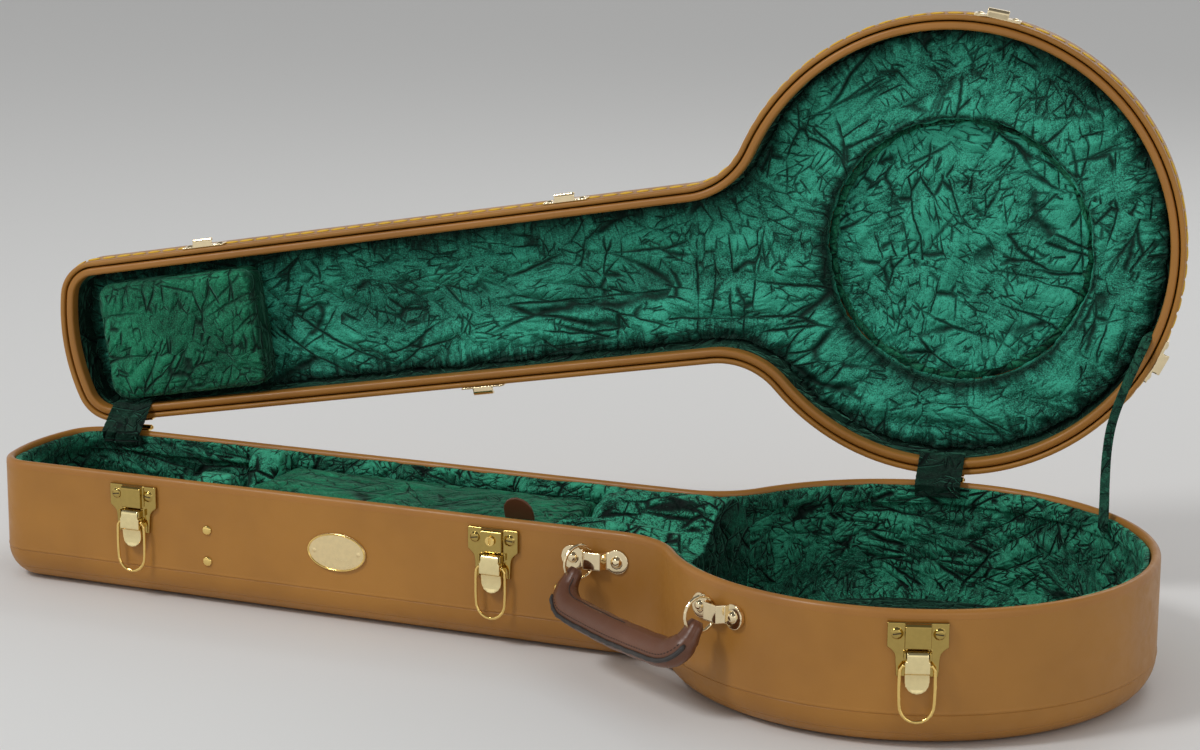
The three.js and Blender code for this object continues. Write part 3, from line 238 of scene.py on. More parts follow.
def makeCrushTree():
    tree, given, out = newGroup(
        "crushCloth", "GeometryNodeTree",
        [("Geometry", "Geometry", None), ("Depth", "Float", 0.002),
         ("Stretch", "Vector", (1, 1, 1)), ("Shift", "Vector", (0, 0, 0)),
         ("Material", "Material", None)],
        [("Geometry", "Geometry")])
    asked = [addNode(tree, "GeometryNodeInputNamedAttribute", {"Name": name}, data_type="FLOAT_VECTOR").outputs[0]
             for name in ("laid", "edge")]
    laid = vectorCalc(tree, "ADD", vectorCalc(tree, "MULTIPLY", asked[0], given["Stretch"]), given["Shift"])
    kept = addNode(tree, "GeometryNodeStoreNamedAttribute", {
        "Geometry": given["Geometry"], "Name": "laid", "Value": laid}, data_type="FLOAT_VECTOR")
    crease = creaseNodes(tree, *asked)
    low = calc(tree, "MULTIPLY", calc(tree, "SUBTRACT", 1.9, crease["height"]), 0.5)
    low = calc(tree, "MULTIPLY_ADD", crease["pleat"], 0.5, low)
    sunk = calc(tree, "SUBTRACT", 0.5, crease["swell"])
    low = calc(tree, "MAXIMUM", calc(tree, "MULTIPLY_ADD", sunk, 0.9, low), 0.0)
    offset = addNode(tree, "ShaderNodeVectorMath", {
        0: addNode(tree, "GeometryNodeInputNormal").outputs[0],
        "Scale": calc(tree, "MULTIPLY", calc(tree, "MULTIPLY", low, given["Depth"]), -1.0),
    }, operation="SCALE").outputs[0]
    moved = addNode(tree, "GeometryNodeSetPosition", {"Geometry": kept.outputs[0], "Offset": offset})
    real = addNode(tree, "GeometryNodeRealizeInstances", {"Geometry": moved.outputs[0]})
    dressed = addNode(tree, "GeometryNodeSetMaterial", {
        "Geometry": real.outputs[0], "Material": given["Material"]})
    tree.links.new(dressed.outputs[0], out["Geometry"])
    return tree


# Grain of leather and leatherette, and the faint handling marks of any smooth surface
def makeGrainGroup():
    tree, given, out = newGroup(
        "leatherGrain", "ShaderNodeTree",
        [("Coordinates", "Vector", None), ("Scale", "Float", 900.0)],
        [("Height", "Float"), ("Tone", "Float")])
    cells = addNode(tree, "ShaderNodeTexVoronoi", {
        "Vector": given["Coordinates"], "Scale": given["Scale"], "Smoothness": 0.4}, feature="SMOOTH_F1")
    pores = noiseOf(tree, given["Coordinates"], calc(tree, "MULTIPLY", given["Scale"], 1.7), 2).outputs[0]
    height = calc(tree, "ADD", calc(tree, "MULTIPLY", cells.outputs["Distance"], -0.7),
                  calc(tree, "MULTIPLY", pores, 0.35))
    tree.links.new(height, out["Height"])
    tree.links.new(noiseOf(tree, given["Coordinates"], 5, 4, 0.6).outputs[0], out["Tone"])
    return tree


def makeHandlingGroup():
    tree, given, out = newGroup(
        "handlingMarks", "ShaderNodeTree",
        [("Coordinates", "Vector", None), ("Low", "Float", 0.1),
         ("High", "Float", 0.25)],
        [("Roughness", "Float"), ("Height", "Float")])
    smear = noiseOf(tree, given["Coordinates"], 70, 5, 0.6, 0.8).outputs[0]
    mark = addNode(tree, "ShaderNodeMapRange", {
        "Value": smear, "From Min": 0.35, "From Max": 0.7, "To Min": given["Low"], "To Max": given["High"]})
    tree.links.new(mark.outputs["Result"], out["Roughness"])
    tree.links.new(noiseOf(tree, given["Coordinates"], 240, 2).outputs[0], out["Height"])
    return tree


pileGroup = makePileGroup()
crushTree = makeCrushTree()
grainGroup = makeGrainGroup()
handlingGroup = makeHandlingGroup()


def useGroup(tree, group, inputs):
    return addNode(tree, "ShaderNodeGroup", inputs, node_tree=group).outputs


def newMaterial(name, color):
    material = bpy.data.materials.new(name)
    material.use_nodes = True
    material.diffuse_color = color
    tree = material.node_tree
    shader = tree.nodes["Principled BSDF"]
    place = addNode(tree, "ShaderNodeTexCoord").outputs["Object"]
    return material, tree, shader, place


def bumpInto(tree, shader, height, strength, distance):
    bump = addNode(tree, "ShaderNodeBump", {"Height": height, "Strength": strength, "Distance": distance})
    tree.links.new(bump.outputs[0], shader.inputs["Normal"])


def makeLeather(name, dark, light, grain, roughness, bump, coat=0.0):
    material, tree, shader, place = newMaterial(name, light)
    marks = useGroup(tree, handlingGroup, {
        "Coordinates": place, "Low": roughness - 0.06, "High": roughness + 0.1})
    skin = useGroup(tree, grainGroup, {"Coordinates": place, "Scale": grain})
    tone = rangeOf(tree, skin["Tone"], 0.3, 0.7)
    tree.links.new(mixColors(tree, tone, dark, light), shader.inputs["Base Color"])
    tree.links.new(marks["Roughness"], shader.inputs["Roughness"])
    shader.inputs["Coat Weight"].default_value = coat
    shader.inputs["Coat Roughness"].default_value = 0.3
    bumpInto(tree, shader, skin["Height"], bump, 0.25 * mm)
    return material


def makePlush(name, dark, light, darkness, contrast):
    material, tree, shader, _ = newMaterial(name, light)
    laid, edge = (addNode(tree, "ShaderNodeAttribute", attribute_name=name).outputs["Vector"]
                  for name in ("laid", "edge"))
    pile = useGroup(tree, pileGroup, {
        "Laid": laid, "Edge": edge, "Darkness": darkness, "Contrast": contrast})
    tree.links.new(mixColors(tree, pile["Shade"], dark, light), shader.inputs["Base Color"])
    shader.inputs["Roughness"].default_value = 0.7
    shader.inputs["Specular IOR Level"].default_value = 0.2
    shader.inputs["Sheen Weight"].default_value = 0.25
    shader.inputs["Sheen Roughness"].default_value = 0.3
    shader.inputs["Sheen Tint"].default_value = (0.25, 0.9, 0.6, 1)
    bumpInto(tree, shader, pile["Height"], 1.0, 3.2 * mm)
    return material


def makeMetal(name, color, low, high):
    material, tree, shader, place = newMaterial(name, color)
    marks = useGroup(tree, handlingGroup, {"Coordinates": place, "Low": low, "High": high})
    tree.links.new(marks["Roughness"], shader.inputs["Roughness"])
    tone = rangeOf(tree, marks["Height"], 0.3, 0.7)
    duller = tuple(0.94 * part for part in color[:3]) + (1,)
    tree.links.new(mixColors(tree, tone, duller, color), shader.inputs["Base Color"])
    shader.inputs["Metallic"].default_value = 1
    bumpInto(tree, shader, marks["Height"], 0.02, 0.1 * mm)
    return material


def makeThread(name, dark, light):
    material, tree, shader, place = newMaterial(name, light)
    twist = addNode(tree, "ShaderNodeTexWave", {
        "Vector": place, "Scale": 420.0, "Distortion": 1.5}, bands_direction="DIAGONAL")
    tree.links.new(mixColors(tree, twist.outputs["Fac"], dark, light), shader.inputs["Base Color"])
    shader.inputs["Roughness"].default_value = 0.6
    bumpInto(tree, shader, twist.outputs["Fac"], 0.5, 0.2 * mm)
    return material


leatherette = makeLeather("tanLeatherette", (0.340, 0.144, 0.0195, 1), (0.450, 0.199, 0.029, 1), 850, 0.44, 0.22)
rimLeatherette = makeLeather("rimLeatherette", (0.345, 0.142, 0.022, 1), (0.45, 0.192, 0.032, 1), 850, 0.4, 0.16)
plush = makePlush("emeraldPlush", (0.0006, 0.010, 0.006, 1), (0.060, 0.52, 0.345, 1), 1.0, 1.3)
# A darker, more contrasty copy of the plush for the inside of the base: painted shade of the well.
shadedWellPlush = makePlush("shadedWellPlush", (0.0004, 0.006, 0.004, 1), (0.052, 0.43, 0.255, 1), 1.1, 2.4)
# A darker copy of the plush for the blocks, ledges and tuck: painted shade of the pile seen face on.
shadedBlockPlush = makePlush("shadedBlockPlush", (0.0005, 0.008, 0.005, 1), (0.030, 0.35, 0.175, 1), 0.6, 1.2)
duskPlush = makePlush("duskPlush", (0.0005, 0.004, 0.003, 1), (0.020, 0.09, 0.055, 1), 0.45, 1.5)
strapPlush = makePlush("strapPlush", (0.0005, 0.005, 0.004, 1), (0.026, 0.17, 0.10, 1), 0.6, 1.2)
gold = makeMetal("polishedGold", (0.93, 0.66, 0.22, 1), 0.05, 0.12)
# A darker copy of the gold for the latch plates: painted dark reflection on their flat faces.
darkReflectionGold = makeMetal("darkReflectionGold", (0.50, 0.355, 0.105, 1), 0.06, 0.14)
leverGold = makeMetal("leverGold", (0.96, 0.80, 0.42, 1), 0.08, 0.16)
satinGold = makeMetal("satinGold", (0.95, 0.76, 0.42, 1), 0.26, 0.36)
paleGold = makeMetal("paleGold", (0.92, 0.76, 0.48, 1), 0.06, 0.14)
brownLeather = makeLeather("brownLeather", (0.118, 0.040, 0.016, 1), (0.172, 0.062, 0.026, 1), 700, 0.36, 0.3, 0.1)
weltLeather = makeLeather("weltLeather", (0.030, 0.026, 0.024, 1), (0.050, 0.044, 0.040, 1), 700, 0.5, 0.2)
yellowThread = makeThread("yellowThread", (0.74, 0.42, 0.02, 1), (0.94, 0.62, 0.05, 1))
brownThread = makeThread("brownThread", (0.030, 0.014, 0.009, 1), (0.055, 0.028, 0.018, 1))
slotMetal = makeMetal("slotMetal", (0.10, 0.075, 0.045, 1), 0.3, 0.5)
print("materials made")

# The outline of the case, as in the solid model
caseSizes = {
    "boutRadius": 200, "headReach": 832, "neckHalfAtHead": 75.6, "neckHalfAtBout": 79, "waistRadius": 63,
    "headCornerRadius": 35.5, "headEndRadius": 193, "leastCornerRadius": 2, "baseHeight": 109.6, "lidDepth": 56,
    "baseWall": 7.4, "lidWall": 4.6, "panel": 5, "baseEdge": 28, "lidEdge": 22, "rim": 7, "parting": 0.6,
    "hingeOffset": 3,
}
c = caseSizes
neckSlope = (c["neckHalfAtBout"] - c["neckHalfAtHead"]) / (c["headReach"] - c["boutRadius"])
lidLow = c["baseHeight"] + c["parting"]


def neckHalf(x, offset=0.0):
    return c["neckHalfAtHead"] + neckSlope * (x + c["headReach"]) + offset * hypot(neckSlope, 1)


def centreOnLine(rise, pointX, distance):
    a = 1 + neckSlope * neckSlope
    b = 2 * (neckSlope * rise - pointX)
    d = pointX * pointX + rise * rise - distance * distance
    x = (-b - sqrt(max(b * b - 4 * a * d, 0))) / (2 * a)
    return x, rise + neckSlope * x


def arcPoints(centre, radius, start, end, count):
    angles = [start + (end - start) * i / count for i in range(count + 1)]
    return [(centre[0] + radius * cos(a), centre[1] + radius * sin(a)) for a in angles]


def outline(offset, counts):
    bout, waist, neck, corner, end = counts
    endX = c["headEndRadius"] - c["headReach"]
    cornerRadius = max(c["headCornerRadius"] + offset, c["leastCornerRadius"])
    cornerAt = centreOnLine(neckHalf(0, offset - cornerRadius), endX, c["headEndRadius"] + offset - cornerRadius)
    waistAt = centreOnLine(neckHalf(0, c["waistRadius"]), 0, c["boutRadius"] + c["waistRadius"])
    boutEnd = atan2(waistAt[1], waistAt[0])
    along = atan(neckSlope)
    cornerEnd = atan2(cornerAt[1], cornerAt[0] - endX)
    boutPart = arcPoints((0, 0), c["boutRadius"] + offset, 0, boutEnd, bout)
    waistPart = arcPoints(waistAt, c["waistRadius"] - offset, boutEnd - pi, along - pi / 2, waist)[1:]
    cornerPart = arcPoints(cornerAt, cornerRadius, along + pi / 2, cornerEnd, corner)
    endPart = arcPoints((endX, 0), c["headEndRadius"] + offset, cornerEnd, pi, end)[1:]
    a, b = waistPart[-1], cornerPart[0]
    neckPart = [(a[0] + (b[0] - a[0]) * i / neck, a[1] + (b[1] - a[1]) * i / neck) for i in range(1, neck)]
    upper = boutPart + waistPart + neckPart + cornerPart + endPart
    return upper + [(x, -y) for x, y in reversed(upper[1:-1])]


shellCounts = (56, 12, 12, 10, 8)
clothCounts = (170, 18, 170, 14, 22)


def outlineRing(offset, z, counts):
    return [Vector((x, y, z)) * mm for x, y in outline(offset, counts)]


def roundEdge(inset, height, radius, start, end, steps):
    return arcPoints((-inset, height), radius, start, end, steps)


# The hinge line, and the turn that opens the closed lid
def findHinge():
    endX = c["headEndRadius"] - c["headReach"]
    corner = centreOnLine(neckHalf(0, -c["headCornerRadius"]), endX, c["headEndRadius"] - c["headCornerRadius"])
    angle = atan2(corner[1], corner[0]) - acos((c["boutRadius"] - c["headCornerRadius"]) / hypot(*corner))
    out = Vector((cos(angle), sin(angle), 0))
    along = Vector((out.y, -out.x, 0))
    point = out * (c["boutRadius"] + c["hingeOffset"])
    point.z = c["baseHeight"] + c["parting"] / 2
    return point * mm, along, out


hingePoint, hingeAlong, hingeOut = findHinge()
openTurn = (Matrix.Translation(hingePoint) @ Matrix.Rotation(-pi / 2, 4, hingeAlong)
            @ Matrix.Translation(-hingePoint))


# Making pieces
def newPiece(name, mesh, material, body, replaced=(), sharp=40, turn=None):
    if turn is not None:
        mesh.transform(turn)
    mesh.name = name
    mesh.shade_smooth()
    if sharp:
        mesh.set_sharp_from_angle(angle=radians(sharp))
    if material is not None:
        mesh.materials.clear()
        mesh.materials.append(material)
    piece = linked(name, mesh)
    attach(piece, body)
    if replaced:
        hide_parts(*replaced)
    return piece


def merged(mesh, outwards):
    work = bmesh.new()
    work.from_mesh(mesh)
    bmesh.ops.remove_doubles(work, verts=work.verts, dist=0.002 * mm)
    if outwards:
        bmesh.ops.recalc_face_normals(work, faces=work.faces)
    work.to_mesh(mesh)
    work.free()
    return mesh


def meshOf(points, faces):
    mesh = bpy.data.meshes.new("mesh")
    mesh.from_pydata([tuple(p) for p in points], [], faces)
    return merged(mesh, True)


# Rings joined into a skin. It is closed on itself, or ends in a flat cap at each end.
def skinOf(rings, capped=False):
    count = len(rings[0])
    spans = len(rings) - 1 if capped else len(rings)
    faces = []
    for j in range(spans):
        low, high = j * count, (j + 1) % len(rings) * count
        faces += [(low + i, low + (i + 1) % count, high + (i + 1) % count, high + i) for i in range(count)]
    if capped:
        faces.append(tuple(range(count))[::-1])
        faces.append(tuple(range((len(rings) - 1) * count, len(rings) * count)))
    return meshOf([p for ring in rings for p in ring], faces)


def bandOf(section, counts=shellCounts):
    return skinOf([outlineRing(offset, z, counts) for offset, z in section])


def bowlOf(section, counts=shellCounts):
    return skinOf([outlineRing(offset, z, counts) for offset, z in section], True)


# Shell of the base
baseValues = {
    "seam": 0.35, "lineHeight": 12, "lineDepth": 0.4, "lineHalfAngle": 0.02, "rimOverlap": 1.2, "edgeSteps": 12,
    "ridge": ((0, 0.3), (0.4, 1.2), (0.4, 1.9), (0.1, 2.8), (0, 3.4)),
}


def makeBase(v):
    edge, inner = c["baseEdge"], c["baseEdge"] - c["panel"]
    seam = v["seam"]
    outer = roundEdge(edge, edge, edge, -pi / 2, 0, v["edgeSteps"])
    lowAngle = atan2(v["lineHeight"] - edge, sqrt(edge ** 2 - (edge - v["lineHeight"]) ** 2))
    groove = [(edge * cos(a) - edge - d, edge * sin(a) + edge) for a, d in (
        (lowAngle - v["lineHalfAngle"], 0), (lowAngle, v["lineDepth"]), (lowAngle + v["lineHalfAngle"], 0))]
    section = [p for p in outer if p[1] < groove[0][1] - 0.3] + groove + [
        p for p in outer if groove[2][1] + 0.3 < p[1] < edge - seam]
    section += [(-0.05, edge - seam), (-seam, edge)]
    section += roundEdge(edge, edge, inner, 0, -pi / 2, 6)
    newPiece("base_tray_cover", bowlOf(section), leatherette, "case_base", ["base_tray"])
    high = c["baseHeight"] - c["rim"] + v["rimOverlap"]
    wall = [(-seam, edge)] + [(out, edge + up) for out, up in v["ridge"]]
    wall += [(0, high), (-c["baseWall"], high), (-c["baseWall"], edge)]
    newPiece("base_wall_cover", bandOf(wall), leatherette, "case_base", ["base_wall"])
    crownRadius = (c["baseWall"] + 0.3) / 2
    low = c["baseHeight"] - c["rim"]
    crown = arcPoints((-crownRadius, c["baseHeight"] - crownRadius), crownRadius, 0, pi, 12)
    rim = [(0.12, low + 0.3)] + crown
    rim += [(-2 * crownRadius, low + 0.3), (-2 * crownRadius + 0.6, low), (-0.5, low)]
    newPiece("base_rim_cover", bandOf(rim), rimLeatherette, "case_base", ["base_rim"])


makeBase(baseValues)

# Shell of the lid
lidValues = {
    "bead": 1.9, "seam": 0.35, "edgeSteps": 10, "bandGap": 1.3, "bandThick": 7, "bandHigh": 12, "bandBead": 2.6,
}


def makeLid(v):
    edgeHeight = lidLow + c["lidDepth"] - c["lidEdge"]
    bead, seam, inner = v["bead"], v["seam"], -c["lidWall"]
    crown = arcPoints((-bead, lidLow + bead), bead, 0, -pi / 2, 5)
    innerCrown = arcPoints((inner + bead, lidLow + bead), bead, -pi / 2, -pi, 5)
    wall = [(-seam, edgeHeight), (0, edgeHeight - seam)] + crown + innerCrown + [(inner, edgeHeight)]
    newPiece("lid_wall_cover", bandOf(wall), leatherette, "lid", ["lid_wall"], turn=openTurn)
    panel = roundEdge(c["lidEdge"], edgeHeight, c["lidEdge"] - c["panel"], pi / 2, 0, 6)
    panel += [(-seam, edgeHeight), (-0.05, edgeHeight + seam)]
    panel += roundEdge(c["lidEdge"], edgeHeight, c["lidEdge"], 0.03, pi / 2, v["edgeSteps"])
    newPiece("lid_panel_cover", bowlOf(panel), leatherette, "lid", ["lid_panel"], turn=openTurn)
    outer, high, bead = inner - v["bandGap"], lidLow + v["bandHigh"], v["bandBead"]
    back = outer - v["bandThick"]
    band = [(outer, high)] + arcPoints((outer - bead, lidLow + bead), bead, 0, -pi / 2, 5)
    band += arcPoints((back + bead, lidLow + bead), bead, -pi / 2, -pi, 5) + [(back, high)]
    newPiece("lid_valance_cover", bandOf(band), rimLeatherette, "lid", ["lid_valance"],
             turn=openTurn)


makeLid(lidValues)
print("shells made")


def evaluatedMesh(holder):
    graph = bpy.context.evaluated_depsgraph_get()
    result = bpy.data.meshes.new_from_object(holder.evaluated_get(graph))
    bpy.data.objects.remove(holder)
    return result


# A mesh as a geometry node tree makes it
def treeResult(mesh, tree, values):
    holder = linked("holder", mesh)
    modifier = holder.modifiers.new("tree", "NODES")
    modifier.node_group = tree
    for item in tree.interface.items_tree:
        if item.item_type == "SOCKET" and item.in_out == "INPUT" and item.name in values:
            modifier[item.identifier] = values[item.name]
    return evaluatedMesh(holder)


# Plush pieces: a fine mesh is crushed by the tree and kept as a plain mesh.
# Its attributes hold where each point lies on the flat cloth, how far along the nearest border and in from it
# the point is, and how much painted shade darkens the cloth there.
def markCloth(mesh, borders, fade, unrolled):
    count = len(mesh.vertices)
    edges, laid = [(0.0, 1.0, 0.0)] * count, []
    tree, places = None, []
    for border in borders:
        along = 0.0
        for i, point in enumerate(border):
            along += (point - border[i - 1]).length if i else 0.0
            places.append((point, along))
    if places:
        tree = KDTree(len(places))
        for i, (point, along) in enumerate(places):
            tree.insert(point, i)
        tree.balance()
    for i, vertex in enumerate(mesh.vertices):
        co = vertex.co
        paintedShade, wider = fade(vertex) if fade else (0.0, 1.0)
        if tree:
            point, index, distance = tree.find(co)
            edges[i] = (places[index][1], 1.0 if unrolled else distance * wider, paintedShade)
        else:
            edges[i] = (0.0, 1.0, paintedShade)
        laid.append((edges[i][0], co.z, 0.0) if unrolled else tuple(co))
    for name, values in (("edge", edges), ("laid", laid)):
        attribute = mesh.attributes.new(name, "FLOAT_VECTOR", "POINT")
        attribute.data.foreach_set("vector", [part for value in values for part in value])


def crushed(mesh, depth, material, stretch=(1, 1, 1), shift=(0, 0, 0), borders=(), fade=None, unrolled=False,
            turn=None):
    if turn:
        mesh.transform(turn.inverted())
    markCloth(mesh, borders, fade, unrolled)
    cloth = treeResult(mesh, crushTree, {
        "Depth": depth * mm, "Stretch": stretch, "Shift": shift, "Material": material})
    if turn:
        cloth.transform(turn)
    return cloth


def nodeCopy(name):
    return merged(nodes[name].data.copy(), False)


def remeshed(mesh, voxel, smoothing):
    holder = linked("holder", mesh)
    remesh = holder.modifiers.new("remesh", "REMESH")
    remesh.mode, remesh.voxel_size = "VOXEL", voxel * mm
    smooth = holder.modifiers.new("smooth", "SMOOTH")
    smooth.factor, smooth.iterations = 0.5, smoothing
    return evaluatedMesh(holder)


# Linings of the walls
def finely(outlinePoints, step=2.0):
    points = []
    for a, b in zip(outlinePoints, outlinePoints[1:] + outlinePoints[:1]):
        count = max(1, round((b - a).length / (step * mm)))
        points += [a.lerp(b, i / count) for i in range(count)]
    return points


def shareOf(value, start, reach):
    return min(max((value - start) / reach, 0), 1)


# The last three values set the painted shade of the lining: how much, below which height and past which point towards
# the head.
liningValues = {
    "face": 11.2, "back": 8.0, "top": 107.2, "roll": 4, "rollHeight": 18, "underPad": 14, "depth": 1.9,
    "paintedShade": 0.3, "darkBelow": 94, "darkPast": 230,
}
lidLiningValues = {"face": 11.8, "back": 5.4, "low": 12.4, "wall": 21.2, "underPad": 22, "glue": 0.4, "depth": 0.5}


# Painted shade: the lining darkens below its top roll and towards the head end of the well.
def paintedWellShade(vertex):
    v = liningValues
    low = shareOf(-vertex.co.z, -v["darkBelow"] * mm, 8 * mm)
    return v["paintedShade"] * (low + shareOf(-vertex.co.x, v["darkPast"] * mm, 160 * mm)), 1.0


def makeBaseLining(v):
    face, back, top, rollHeight, edge = -v["face"], -v["back"], v["top"], v["rollHeight"], c["baseEdge"]
    # It runs on under the edge of the floor pads
    section = [(-edge - v["underPad"], 6.2), (-edge - v["underPad"], 9.6)]
    section += roundEdge(edge, edge, edge + face, -pi / 2, 0, 8)
    section += [(face, edge + (top - rollHeight - edge) * i / 20) for i in range(1, 21)]
    for i in range(1, 13):
        angle = pi * i / 12
        section.append((face - v["roll"] * sin(angle) ** 0.8, top - rollHeight * (0.5 + 0.5 * cos(angle))))
    section += [(back, top)] + roundEdge(edge, edge, edge + back, 0, -pi / 2, 6)
    cloth = crushed(bandOf(section, clothCounts), v["depth"], shadedWellPlush, (1.5, 1.5, 1), fade=paintedWellShade,
                    unrolled=True, borders=[finely(outlineRing(face, 60, clothCounts))])
    newPiece("base_lining_cloth", cloth, None, "case_base", ["base_lining"], sharp=0)


def makeLidLining(v):
    face, low, edge = -v["face"], lidLow + v["low"], c["lidEdge"]
    corner, floor = lidLow + c["lidDepth"] - edge, lidLow + c["lidDepth"] - c["panel"] - v["glue"]
    # It is tucked in under the edge of the pad
    section = [(face, low + v["wall"] * i / 8) for i in range(9)]
    section += [(face - 4, corner + 6), (-edge - 2, floor - 1.6), (-edge - v["underPad"], floor - 1.6)]
    section += [(-edge - v["underPad"], floor)]
    section += roundEdge(edge, corner, edge - c["panel"] - v["glue"], pi / 2, 0, 8) + [(-v["back"], low)]
    cloth = crushed(bandOf(section, clothCounts), v["depth"], duskPlush, shift=(3, 1, 2), unrolled=True,
                    borders=[finely(outlineRing(face, 140, clothCounts))])
    newPiece("lid_lining_cloth", cloth, None, "lid", ["lid_lining"], sharp=0, turn=openTurn)


makeBaseLining(liningValues)
makeLidLining(lidLiningValues)

# Pads and blocks: each keeps the space of its solid
padValues = [
    # node, body, voxel, smoothing, depth of the folds, stretch, fill, material
    ("bout_floor_pad", "case_base", 3.0, 4, 2.2, (1, 1, 1), 0.4, duskPlush),
    ("neck_floor_pad", "case_base", 3.0, 4, 2.0, (0.8, 1, 1), 0.4, shadedWellPlush),
    ("heel_block", "case_base", 2.2, 3, 2.2, (1, 1, 1), 0.7, shadedWellPlush),
    ("neck_cradle", "case_base", 2.0, 3, 1.8, (1, 1, 1), 0.7, shadedWellPlush),
    ("accessory_lid", "accessory_lid", 2.4, 4, 1.8, (0.8, 1, 1), 0.7, shadedBlockPlush),
    ("lid_pad", "lid", 2.6, 4, 4.0, (0.85, 1, 1), 0.6, plush),
    ("lid_recess_pad", "lid", 2.4, 3, 3.6, (1, 1, 1), 0.6, plush),
    ("lid_headstock_block", "lid", 2.0, 2, 1.6, (1, 1, 1), 0.7, shadedBlockPlush),
]
recess = {"radius": 113, "x": 4, "y": 8, "depth": 30, "tuckIn": 6, "tuckOut": 3, "tuckLow": 47.4, "tuckHigh": 49.6}
# Its last two values set the painted shade along the neck: all across, and more down the middle.
neckFold = {"from": -175, "to": -270, "half": 30, "depth": 7, "paintedShade": 0.10, "middle": 0.38}


def padBorders(node):
    circle = [Vector((x, y, lidLow + recess["depth"])) * mm for x, y in arcPoints(
        (recess["x"], recess["y"]), recess["radius"], 0, 2 * pi, 400)]
    wall = finely(outlineRing(-12, lidLow + 33, clothCounts))
    return {"lid_pad": [circle, wall], "lid_recess_pad": [circle]}.get(node, ())


def neckShare(x):
    share = shareOf(neckFold["from"] * mm - x, 0, (neckFold["from"] - neckFold["to"]) * mm)
    return share * share * (3 - 2 * share)


# Painted shade: along the neck the pad darkens towards the head, most down its sewn middle; round the recess the band
# of border shade and pleats is narrowed on one side.
def paintedPadShade(vertex):
    away = Vector((vertex.co.x - recess["x"] * mm, vertex.co.y - recess["y"] * mm, 0))
    high = 0.0
    if 0 < away.length < 1.2 * recess["radius"] * mm:
        high = 0.5 + 0.5 * away.normalized().dot((hingeAlong - hingeOut).normalized())
    middle = cos(min(abs(vertex.co.y - 4 * mm) / (neckFold["half"] * mm), 1) * pi / 2) ** 2
    return neckShare(vertex.co.x) * (neckFold["paintedShade"] + neckFold["middle"] * middle), 0.8 + 2.4 * high ** 2


# Painted shade: the block's faces turned towards +x are darker.
def paintedSideShade(vertex):
    return 0.88 * shareOf(1.6 * vertex.normal.x, 0.5, 1), 1.0


# Painted shade: the block's faces turned along x are darker.
def paintedEndShade(vertex):
    return 0.7 * shareOf(1.6 * abs(vertex.normal.x), 0.5, 1), 1.0


# Along the neck the pad is sewn down its middle
def foldNeck(mesh):
    for vertex in mesh.vertices:
        across = min(abs(vertex.co.y) / (neckFold["half"] * mm), 1)
        if vertex.co.z < (lidLow + 40) * mm:
            vertex.co.z += neckFold["depth"] * mm * cos(across * pi / 2) ** 2 * neckShare(vertex.co.x)


# The painted shade of each piece
fadeOf = {"lid_pad": paintedPadShade, "lid_recess_pad": paintedPadShade, "heel_block": paintedSideShade, "lid_headstock_block": paintedEndShade}


def makePads():
    for i, (node, body, voxel, smoothing, depth, stretch, fill, material) in enumerate(padValues):
        mesh = remeshed(nodeCopy(node), voxel, smoothing)
        turn = openTurn if body == "lid" else None
        if node == "lid_pad":
            mesh.transform(openTurn.inverted())
            foldNeck(mesh)
            mesh.transform(openTurn)
        shift = (i * 1.7, i * 0.9, i * 2.3)
        cloth = crushed(mesh, depth, material, stretch, shift, padBorders(node), fadeOf.get(node), turn=turn)
        pad = newPiece(node + "_plush", cloth, None, body, [node], sharp=0)
        print(node, len(cloth.polygons))


# The gap round the recess is closed by the cloth tucked into it
def makeTuck(v):
    inner, outer = v["radius"] - v["tuckIn"], v["radius"] + v["tuckOut"]
    low, high = v["tuckLow"], v["tuckHigh"]
    rings = [[Vector((px, py, lidLow + z)) * mm for px, py in arcPoints((v["x"], v["y"]), r, 0, 2 * pi, 180)[:-1]]
             for r, z in ((inner, low), (outer, low), (outer, high), (inner, high))]
    tuck = newPiece("lid_recess_tuck", crushed(skinOf(rings), 0.2, shadedBlockPlush), None, "lid",
                    sharp=0, turn=openTurn)


def makeLedges():
    for node in ("accessory_ledge_front", "accessory_ledge_back"):
        cloth = crushed(remeshed(nodeCopy(node), 2.4, 3), 0.8, shadedBlockPlush, shift=(1, 5, 2))
        ledge = newPiece(node + "_plush", cloth, None, "case_base", [node], sharp=0)


makePads()
makeTuck(recess)
makeLedges()
print("plush made")

# Flaps over the hinges, crushed where they stand
flapValues = {"places": {"hinge_flap_head": -755, "hinge_flap_bout": 0}, "in": 13, "reach": 5, "flat": (0.040, 0.044)}


def makeFlaps(v):
    for node, along in v["places"].items():
        mesh = crushed(remeshed(nodeCopy(node), 0.8, 2), 0.2, duskPlush, shift=(2, 4, 1))
        mesh.name = node + "_cloth"
        mesh.shade_smooth()
        flap = linked(node + "_cloth", mesh)
        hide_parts(node)
        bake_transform(flap)


makeFlaps(flapValues)

def smoothPath(points, steps):
    ends = [points[0] * 2 - points[1]] + points + [points[-1] * 2 - points[-2]]
    path = []
    for k in range(1, len(points)):
        p, q, r, s = ends[k - 1:k + 3]
        for i in range(steps // (len(points) - 1)):
            t = i / (steps // (len(points) - 1))
            path.append(0.5 * (2 * q + (r - p) * t + (2 * p - 5 * q + 4 * r - s) * t ** 2
                               + (3 * q - p - 3 * r + s) * t ** 3))
    return path + [points[-1]]


# The stay strap is two halves, one held by the lid and one by the base
strapValues = {
    "lidDegrees": 32, "baseDegrees": 45, "lidReach": 16, "baseReach": 12, "out": 2, "sag": 7, "bow": 12, "width": 11,
    "thickness": 3.4, "gap": 0.9, "underLining": 8.3, "underRoll": 15.6, "narrower": 0.26, "steps": 72, "sides": 12,
    "keep": 0.08,
}


